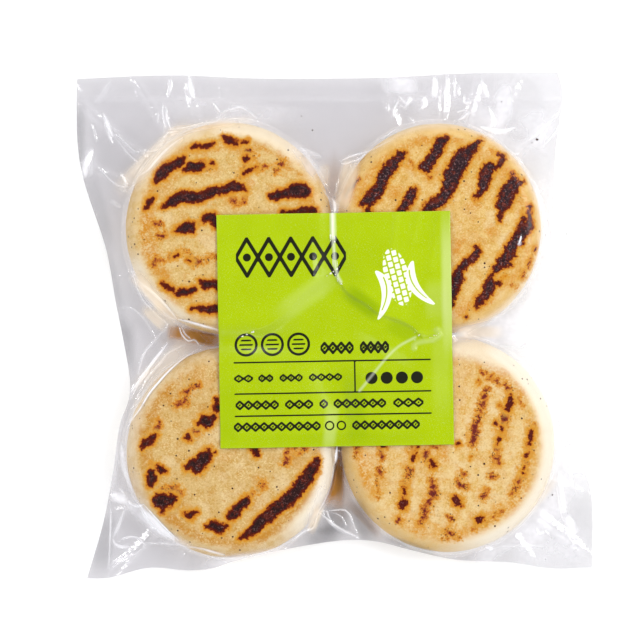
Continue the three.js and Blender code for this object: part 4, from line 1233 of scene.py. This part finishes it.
def east_painted_light(x, y):
    """Painted light: how much of its tint the film loses at the right, to show the floor under it as
    bright as light from the right makes it.
    """
    clear = EAST_CLEAR + EAST_CLEARER * smoothstep(np.abs(y - EAST_MIDDLE), *CLEARER_EDGE)
    return clear * smoothstep(x, *EAST) * smoothstep(from_cakes(x, y)[0], *CLEAR_START)


def valley_sides_in_shade(x, y):
    """1 in the narrow valleys between neighbouring cakes, where the film is painted with their brown
    sides in shade.
    """
    nearest, second = from_cakes(x, y)[:2]
    valley = (1 - smoothstep(second, *VALLEY_WIDTH)) * (1 - smoothstep(x, *VALLEY_EAST))
    brown = soft_patches(VALLEY_PATCHES, x, y)
    return (VALLEY_BROWN * valley + brown) * smoothstep(nearest, *VALLEY_START)


def film_sheets():
    """The two films on one net of points, and the crumbs that lie between them."""
    points, triangles = film_net()
    x, y = points.T
    from_rim = rim_distance(x, y)
    beside = smoothstep(from_cakes(x, y)[0], *BESIDE)
    waves, white = film_waves(x, y, from_rim), film_milk_and_sheen(x, y, beside)
    lift, crease_white_highlight = crease_heights(x, y)
    opened = SEAL_GAP / 2 * (1 - smoothstep(from_rim, 0, OPENING))
    upper = upper_height(x, y, from_rim) + waves - opened + lift * smoothstep(from_rim, 0, 1)
    lower = lower_height(x, y, from_rim)
    lower = lower + waves * smoothstep(lower, 0, 3) + opened
    lower = np.minimum(np.maximum(0, lower), upper)
    # Painted light and shade: shade and bright on both films, sheen and crease highlights in white, lit
    # dough and shaded valleys in tan.
    both = {"snug": 1 - beside, "shade": soft_patches(SHADE_PATCHES, x, y),
            "bright": east_painted_light(x, y)}
    above = {"white": white + CREASE_WHITE_HIGHLIGHT * crease_white_highlight, "tan": on_flanks(LIT_CREAM_PATCHES, x, y)}
    below = {"white": white * MILK_BELOW, "tan": valley_sides_in_shade(x, y)}
    make_mesh("film_upper", np.stack([x, y, upper], axis=1), triangles,
              film_shader("film_upper", LIT_FLANK), {**above, **both}, ["pouch"])
    make_mesh("film_lower", np.stack([x, y, lower], axis=1), triangles[:, ::-1],
              film_shader("film_lower", VALLEY), {**below, **both}, ["pouch"])
    crumb_piece(points, lower, upper)


def crumb_piece(places, lower, upper):
    """Burnt crumbs that lie loose on the lower sheet: a ring of corners between two points each."""
    points, faces = [], []
    ragged, step = CRUMB_RAGGED
    for number, (x, y, radius) in enumerate(CRUMBS):
        nearest = np.argmin(np.hypot(places[:, 0] - x, places[:, 1] - y))
        middle = lower[nearest] + min(radius + CRUMB_GAP, (upper[nearest] - lower[nearest]) / 2)
        top, rise = len(points), radius * CRUMB_RISE
        points += [(x, y, middle + rise), (x, y, middle - rise)]
        for k in range(CRUMB_CORNERS):
            turn = 2 * math.pi * k / CRUMB_CORNERS
            far = radius * (1 + ragged * math.sin(step * k + number))
            points.append((x + far * math.cos(turn), y + far * math.sin(turn) * CRUMB_LENGTH, middle))
            one, two = top + 2 + k, top + 2 + (k + 1) % CRUMB_CORNERS
            faces += [(top, one, two), (top + 1, two, one)]
    s = Shader("crumbs")
    colour = s.mix(s.span(s.noise(0.4, 3), 0.4, 0.9), linear(*SOOT), linear(*RUST))
    surface = s.node("ShaderNodeBsdfPrincipled", {"Base Color": colour, "Roughness": 0.8})
    make_mesh("crumbs", points, faces, s.finish(surface), {}, ["pouch"])


# ---- Cakes ---------------------------------------------------------------------------------------


def from_marks(strokes, x, y):
    """How far a point is outside the nearest stroke, in mm, negative inside it."""
    least = np.full(np.shape(x), 60.0)
    for stroke in strokes:
        for start, end in zip(stroke, stroke[1:]):
            share, away = from_segment(x, y, start, end)
            least = np.minimum(least, away - (start[2] + (end[2] - start[2]) * share))
    return least


def pale_lit_sides(name, angle, outside):
    """How far each point of a cake is in one of its paler stretches, pale with painted light, 0 to 1.
    """
    pale = 0 * angle
    for cake, bearing, spread, start, strength in PALE_LIT_ARCS:
        if cake == name:
            aside = np.abs((np.degrees(angle) - bearing + 180) % 360 - 180) / spread
            risen = smoothstep(outside, start, start + PALE_RISE)
            pale = np.maximum(pale, strength * (1 - smoothstep(aside, *PALE_FADE)) * risen)
    return pale


def round_grid(cells):
    """A square grid drawn out into a disc: each point's bearing and its share of the radius."""
    a, b = (g.ravel() for g in np.meshgrid(*[np.linspace(-1, 1, cells + 1)] * 2, indexing="ij"))
    wide = np.abs(a) > np.abs(b)
    safe_a, safe_b = np.where(a == 0, 1, a), np.where(b == 0, 1, b)
    angle = np.where(wide, math.pi / 4 * b / safe_a, math.pi / 2 - math.pi / 4 * a / safe_b)
    away = np.where(wide, a, b)
    return np.where(away < 0, angle + math.pi, angle), np.abs(away)


def cake_mesh(name, material, seed):
    """A flat round cake with blunt rounded sides, its marks sunk a little into each face."""
    cake, marks, under = CAKES[name], MARKS[name], MARKS[UNDERSIDES[name]]
    angle, away = round_grid(CAKE_CELLS)
    border = grid_border(CAKE_CELLS)
    middle, half = cake["height"] / 2, cake["height"] / 2 - FILM_GAP
    face = (cake_radius(cake, angle) - EDGE_REACH) * away
    layers = [(angle, face, middle + half + CROWN * (1 - away))]
    for turn in np.linspace(math.pi / 2, -math.pi / 2, EDGE_RINGS + 2)[1:-1]:
        ring = cake_radius(cake, angle[border]) - EDGE_REACH * (1 - math.cos(turn))
        layers.append((angle[border], ring, middle + half * math.sin(turn) + 0 * ring))
    layers.append((angle, face, middle - half + 0 * face))
    angle, far, z = (np.concatenate(parts) for parts in zip(*layers))
    x, y = far * np.cos(angle), far * np.sin(angle)

    upper = z > middle
    facts = {kind: np.where(upper, from_marks(marks[kind], x, y), from_marks(under[kind], y, x))
             for kind in ("char", "burn", "toast")}
    inside = cake_radius(cake, angle) - EDGE_REACH - far
    sunk = (1 - smoothstep(facts["char"], *CHAR_EDGE)) * smoothstep(inside, *CHAR_START)
    hollow = LUMP_DEPTH * (0.5 + relief(x, y, FACE_LUMPS, seed)) + CHAR_DEPTH * sunk
    z = z - np.where(upper, 1, -1) * hollow * smoothstep(np.abs(z - middle), 0, LUMP_RISE)
    rough = 0.5 + relief(angle * cake["radius"], z, SIDE_LUMPS, seed)
    far = far + (SIDE_PROUD - SIDE_DEPTH * rough) * smoothstep(-inside, 0, LUMP_RISE)
    x, y = cake["x"] + far * np.cos(angle), cake["y"] + far * np.sin(angle)

    size = len(away)
    rings = [size + k * len(border) + np.arange(len(border)) for k in range(EDGE_RINGS)]
    last = size + EDGE_RINGS * len(border)
    rings = [border, *rings, last + border]
    faces = [grid_faces(CAKE_CELLS), *[band_faces(*pair) for pair in zip(rings, rings[1:])],
             grid_faces(CAKE_CELLS, last)[:, ::-1]]
    facts.update(inside=inside, pale=pale_lit_sides(name, angle, -inside - EDGE_REACH))
    make_mesh("cake_" + name, np.stack([x, y, z], axis=1), np.concatenate(faces), material,
              facts, ["pouch"])


def scorched(s, colour, mark, edge, tones, core=None, ashen=0):
    """The colour with a mark's scorching over it: tones are (mm outside the mark, colour)."""
    away = s.plus(s.attribute(mark), edge)
    low, high = tones[0][0], tones[-1][0]
    values = {"Value": away, "From Min": low, "From Max": high}
    ramp = s.node("ShaderNodeValToRGB", {0: s.node("ShaderNodeMapRange", values).outputs[0]})
    fill_ramp(ramp, [((far - low) / (high - low), linear(*tone)) for far, tone in tones])
    tone = ramp.outputs[0]
    if core:
        crust = s.noise(1.0, 4, 0.8)
        rusty = s.times(s.span(s.noise(3.2, 3, 0.7), 0.5, 0.62), 0.3 + 0.5 * ashen)
        flecks = s.over(linear(*core), RUST, rusty)
        flecks = s.over(flecks, SOOT, s.span(crust, 0.5, 0.6), 0.8)
        flecks = s.over(flecks, ASH, s.span(crust, 0.44, 0.34), 0.16 + 0.4 * ashen)
        tone = s.mix(s.span(away, -0.5, -1.5), tone, flecks)
    return s.mix(s.span(away, high, high - 2.2), colour, tone)


def dough_shader(name, face, pale, side, golden, core, crumbly, seed):
    """Griddled corn dough: a grainy face, golden towards its edge, with charred griddle marks."""
    s = Shader(name)
    grain, mottle, drift = s.noise(1.1, 4, 0.75), s.noise(4.5, 4, 0.65), s.noise(12, 3)
    fine, patchy = s.noise(0.9, 2, 0.6), s.span(s.noise(7, 3), 0.35, 0.65)
    wander = s.minus(s.noise(3.4, 1.5 + 1.5 * crumbly, 0.6), 0.5)
    speckle = s.minus(s.noise(1.7, 3, 0.7), 0.5)

    colour = s.over(linear(*face), pale, s.span(mottle, 0.36, 0.62))
    colour = s.over(colour, CREAM, s.span(drift, 0.52, 0.66), 0.55)
    colour = s.over(colour, BLUSH, s.span(drift, 0.47, 0.34), 0.45)
    light = s.times(s.span(fine, 0.5, 0.62), s.plus(patchy, 0.3))
    colour = s.over(colour, PALE_GRAIN, light, 0.6)
    dull = s.times(s.span(fine, 0.46, 0.34), s.minus(1.2, patchy))
    colour = s.over(colour, DULL_GRAIN, dull, 0.45)
    amber = s.times(s.span(grain, 0.47, 0.36), s.span(mottle, 0.58, 0.44))
    colour = s.over(colour, golden, amber, 0.65)

    ragged = s.plus(s.attribute("inside"), s.times(wander, 9))
    ring = s.times(s.span(ragged, 8, 2), s.span(ragged, -3, 0.5))
    ring = s.times(ring, s.span(s.noise(17 + seed, 2), 0.35, 0.6))
    spotty = s.span(s.plus(grain, s.times(mottle, 0.4)), 0.85, 0.6)
    colour = s.over(colour, golden, s.times(ring, spotty), 0.9)
    toast = s.plus(s.attribute("toast"), s.times(wander, 8))
    colour = s.over(colour, golden, s.times(s.span(toast, 2.5, -2.5), spotty), 0.8)
    paler = s.over(linear(*side), face, s.span(mottle, 0.6, 0.4), 0.6)
    colour = s.mix(s.span(ragged, -0.5, -4.5), colour, paler)
    # Paler sides: pale dough with painted light.
    colour = s.over(colour, PALE_LIT_SIDE, s.attribute("pale"))

    bran = s.cells(3.1)
    chance = s.node("ShaderNodeSeparateColor", {0: bran.outputs["Color"]}).outputs
    rare = s.plus(chance[0], s.times(s.noise(15, 2), 0.9))
    away = s.plus(bran.outputs["Distance"], s.times(chance[1], 0.09))
    colour = s.over(colour, PEPPER, s.times(s.span(away, 0.21, 0.15), s.span(rare, 1.08, 1.12)))

    edge = s.plus(s.times(wander, 3.2), s.times(speckle, 1.0 + 2.4 * crumbly))
    edge = s.plus(edge, 0.2 * crumbly)
    blotch = s.plus(s.times(s.minus(s.noise(2.1, 3, 0.7), 0.5), 8), 0.25 * crumbly)
    colour = scorched(s, colour, "burn", s.plus(edge, blotch), BURN_TONES)
    near_burn = s.times(s.span(s.attribute("burn"), 2.2, -0.4), 0.9)
    near_char = s.times(s.span(s.attribute("char"), 3.4, 0.4), 0.7)
    nearby = s.times(s.math("MAXIMUM", near_burn, near_char), s.span(s.noise(5, 2), 0.44, 0.56))
    pepper = s.span(s.cells(1.25).outputs["Distance"], 0.36, 0.26)
    colour = s.over(colour, PEPPER, s.times(pepper, nearby))
    colour = scorched(s, colour, "char", edge, CHAR_TONES, core, crumbly)

    height = s.plus(s.times(grain, 0.6), s.times(s.noise(2.4, 3), 0.6))
    dull_char = s.times(s.span(s.attribute("char"), -0.5, 2), 0.25)
    values = {"Base Color": colour, "Normal": s.bump(height, 0.22, 0.8), "Roughness": 0.72,
              "Specular IOR Level": dull_char}
    return s.finish(s.node("ShaderNodeBsdfPrincipled", values))


# ---- Label ---------------------------------------------------------------------------------------


def crease_lift(u, v):
    """Height that the label's creases add, and how white the sharpest of them are, with painted
    highlights.
    """
    lift, white = 0 * u, 0 * u
    for height, left, right, shine, line in LABEL_CREASES:
        line = smooth_line(line, LABEL_CURVE_STEPS)
        least, side = np.full(np.shape(u), 99.0), 0 * u
        for start, end in zip(line, line[1:]):
            away = from_segment(u, v, start, end)[1]
            across = (end[0] - start[0]) * (v - start[1]) - (end[1] - start[1]) * (u - start[0])
            side = np.where(away < least, across, side)
            least = np.minimum(least, away)
        ridge = np.maximum(0, 1 - least / np.where(side > 0, left, right))
        lift = lift + height * ridge ** LABEL_CREASE_POWER
        white = np.maximum(white, shine * ridge)
    return lift, white


def print_distance(u, v):
    """How far a point is outside the nearest black shape, in mm, negative inside it."""
    least = np.full(np.shape(u), 20.0)
    for left, low, right, high, corner in BARS:
        dx = np.abs(u - (left + right) / 2) - (right - left) / 2 + corner
        dy = np.abs(v - (low + high) / 2) - (high - low) / 2 + corner
        outer = np.hypot(np.maximum(dx, 0), np.maximum(dy, 0)) - corner
        least = np.minimum(least, outer + np.minimum(np.maximum(dx, dy), 0))
    for east, north, radius, stroke in RINGS:
        away = np.hypot(u - east, v - north)
        least = np.minimum(least, np.abs(away - radius) - stroke)
        if radius > STRIPED_RADIUS:
            stripe = np.min([np.abs(v - north - rise) for rise in RING_STRIPES], axis=0)
            stripe = np.maximum(stripe - STRIPE_STROKE, away - radius + STRIPE_INSET)
            least = np.minimum(least, stripe)
    for left, right, middle, half, run, stroke in CHAINS:
        run = (right - left) / 2 / round((right - left) / 2 / run)
        wave = (1 - np.abs(((u - left) / run) % 2 - 1)) * (half - stroke)
        line = np.abs(np.abs(v - middle) - wave) / math.hypot(1, half / run) - stroke
        seed = np.hypot(np.abs((u - left) % (2 * run) - run), v - middle) - SEED_SHARE * half
        edge = np.maximum(np.maximum(left - u, u - right), np.abs(v - middle) - half)
        least = np.minimum(least, np.maximum(np.minimum(line, seed), edge))
    return least


def icon_distance(u, v):
    """A plain ear of corn in white, leaning a little: an oval of kernels between two leaves."""
    east, north, half_wide, half_long, lean = ICON
    wide, long = KERNEL
    leaf_wide, leaf_long, drop, bend = LEAF
    stroke, vein_long, slant = VEIN
    a, b = turned(u - east, v - north, math.radians(lean))
    ear = (np.hypot(a / half_wide, b / half_long) - 1) * half_wide
    row = np.abs((a / wide) % 1 - 0.5) * wide
    kernel = np.abs((b / long + 0.5 * (np.floor(a / wide) % 2)) % 1 - 0.5) * long
    gap = np.minimum(wide / 2 - row, long / 2 - kernel) - KERNEL_GAP
    shapes = [np.maximum(ear, -gap)]
    for side in (-1, 1):
        along = b + half_long * drop
        across = side * a - half_wide - stroke - bend * (along - 3) ** 2
        blade = leaf_wide * np.sqrt(np.clip(1 - (along / leaf_long) ** 2, 0, 1))
        leaf = np.maximum(np.abs(across) - blade, np.abs(along) - leaf_long + 0.2)
        vein = np.maximum(np.abs(across + slant * along) - stroke, np.abs(along) - vein_long)
        shapes.append(np.maximum(leaf, -vein))
    return np.min(shapes, axis=0)


def label_piece():
    """The label over the film: a printed face, a coarser back and a thin edge between them."""
    sheets = []
    for cells, sunk in ((LABEL_CELLS, 0), (LABEL_CELLS // 2, LABEL_THICKNESS)):
        line = np.linspace(-LABEL_SIZE / 2, LABEL_SIZE / 2, cells + 1)
        u, v = (g.ravel() for g in np.meshgrid(line, line, indexing="ij"))
        sheets.append((u, v, 0 * u + sunk))
    front, border = len(sheets[0][0]), grid_border(LABEL_CELLS)
    u, v = sheets[0][0][border], sheets[0][1][border]
    sheets.append((u, v, 0 * u + LABEL_THICKNESS))
    edge = front + len(sheets[1][0]) + np.arange(len(border))
    faces = [grid_faces(LABEL_CELLS), grid_faces(LABEL_CELLS // 2, front)[:, ::-1],
             band_faces(border, edge)]
    u, v, sunk = (np.concatenate(parts) for parts in zip(*sheets))
    x, y = turned(u, v, -LABEL_TURN)
    x, y = x + LABEL_CENTRE[0], y + LABEL_CENTRE[1]
    lift, white = crease_lift(u, v)
    film = upper_height(x, y, rim_distance(x, y))
    z = film + LABEL_LIFT + relief(u, v, LABEL_SLACK) + lift - sunk
    facts = {"ink": print_distance(u, v), "icon": icon_distance(u, v), "white": white,
             "sheen": soft_patches(LABEL_SHEEN, u, v), "shade": soft_patches(LABEL_SHADE, u, v),
             "back": (sunk > 0).astype(float)}
    make_mesh("label_paper", np.stack([x, y, z], axis=1), np.concatenate(faces), label_shader(),
              facts, ["label"])


def label_shader():
    """Glossy lime-green paper with black and white print."""
    s = Shader("label")
    fibre = s.noise(0.35, 3)
    colour = s.over(linear(*LIME), LIME_DEEP, s.span(s.noise(24, 2), 0.3, 0.7))
    colour = s.mix(s.times(s.span(fibre, 0.55, 0.75), 0.12), colour, WHITE)
    # Painted shade and painted sheen.
    colour = s.over(colour, LIME_SHADE, s.attribute("shade"))
    colour = s.mix(s.attribute("sheen"), colour, LIME_SHEEN)
    colour = s.over(colour, PRINT_WHITE, s.span(s.attribute("icon"), *PRINT_EDGE))
    colour = s.over(colour, PRINT_BLACK, s.span(s.attribute("ink"), *PRINT_EDGE))
    # Creases whitened, with painted highlight.
    colour = s.mix(s.attribute("white"), colour, LABEL_CREASE_WHITE_HIGHLIGHT)
    colour = s.over(colour, LABEL_BACK, s.attribute("back"))
    normal = s.bump(s.plus(s.times(fibre, 0.1), s.noise(5, 2)), 0.25, 0.5)
    values = {"Base Color": colour, "Normal": normal, "Roughness": 0.24, "Specular IOR Level": 0.22}
    return s.finish(s.node("ShaderNodeBsdfPrincipled", values))


# ---- Floor, light and camera ---------------------------------------------------------------------


def floor():
    """A pale floor, which belongs to the stage and not to the part."""
    mesh = bpy.data.meshes.new("floor")
    corners = [(-FLOOR, -FLOOR), (FLOOR, -FLOOR), (FLOOR, FLOOR), (-FLOOR, FLOOR)]
    mesh.from_pydata([(x * MM, y * MM, FLOOR_HEIGHT * MM) for x, y in corners], [], [(0, 1, 2, 3)])
    s = Shader("floor")
    colour = s.mix(s.noise(40, 2), *[(grey, grey, grey, 1) for grey in FLOOR_GREYS])
    paint = s.node("ShaderNodeBsdfDiffuse", {"Color": colour})
    glow = s.node("ShaderNodeEmission", {"Strength": FLOOR_GLOW})
    both = s.node("ShaderNodeAddShader", {0: paint.outputs[0], 1: glow.outputs[0]})
    mesh.materials.append(s.finish(both))
    piece = show("floor", mesh)


def softbox(name, place, size, power):
    """An area light that faces the middle of the pack."""
    light = bpy.data.lights.new(name, "AREA")
    light.shape = "RECTANGLE"
    light.size, light.size_y = size[0] * MM, size[1] * MM
    light.energy = power
    holder = show(name, light)
    holder.location = Vector(place) * MM
    holder.rotation_euler = (-Vector(place)).to_track_quat("-Z", "Y").to_euler()


def studio():
    """White walls round a darker ceiling."""
    world = bpy.data.worlds.new("studio")
    bpy.context.scene.world = world
    world.use_nodes = True
    tree = world.node_tree
    direction = tree.nodes.new("ShaderNodeTexCoord").outputs["Generated"]
    split = tree.nodes.new("ShaderNodeSeparateXYZ")
    tree.links.new(direction, split.inputs[0])
    shades = tree.nodes.new("ShaderNodeValToRGB")
    tree.links.new(split.outputs["Z"], shades.inputs[0])
    fill_ramp(shades, [(height, (*[channel * brightness for channel in WALL_COLOUR], 1))
                       for height, brightness in SURROUNDINGS])
    tree.links.new(shades.outputs[0], tree.nodes["Background"].inputs["Color"])


def camera():
    """The photograph's view, from straight above."""
    lens = bpy.data.cameras.new("camera")
    lens.lens, lens.sensor_width, lens.clip_end = CAMERA_LENS, CAMERA_SENSOR, CAMERA_CLIP
    holder = show("camera", lens)
    holder.location = Vector(CAMERA_PLACE) * MM
    bpy.context.scene.camera = holder
    bpy.context.scene.view_settings.view_transform = "Standard"


# ---- The pieces ----------------------------------------------------------------------------------

film_sheets()
for number, (name, tones) in enumerate(DOUGH.items()):
    cake_mesh(name, dough_shader("dough_" + name, *tones, number), 40 + 10 * number)
label_piece()
floor()
for name, light in LIGHTS.items():
    softbox(name, *light)
studio()
camera()
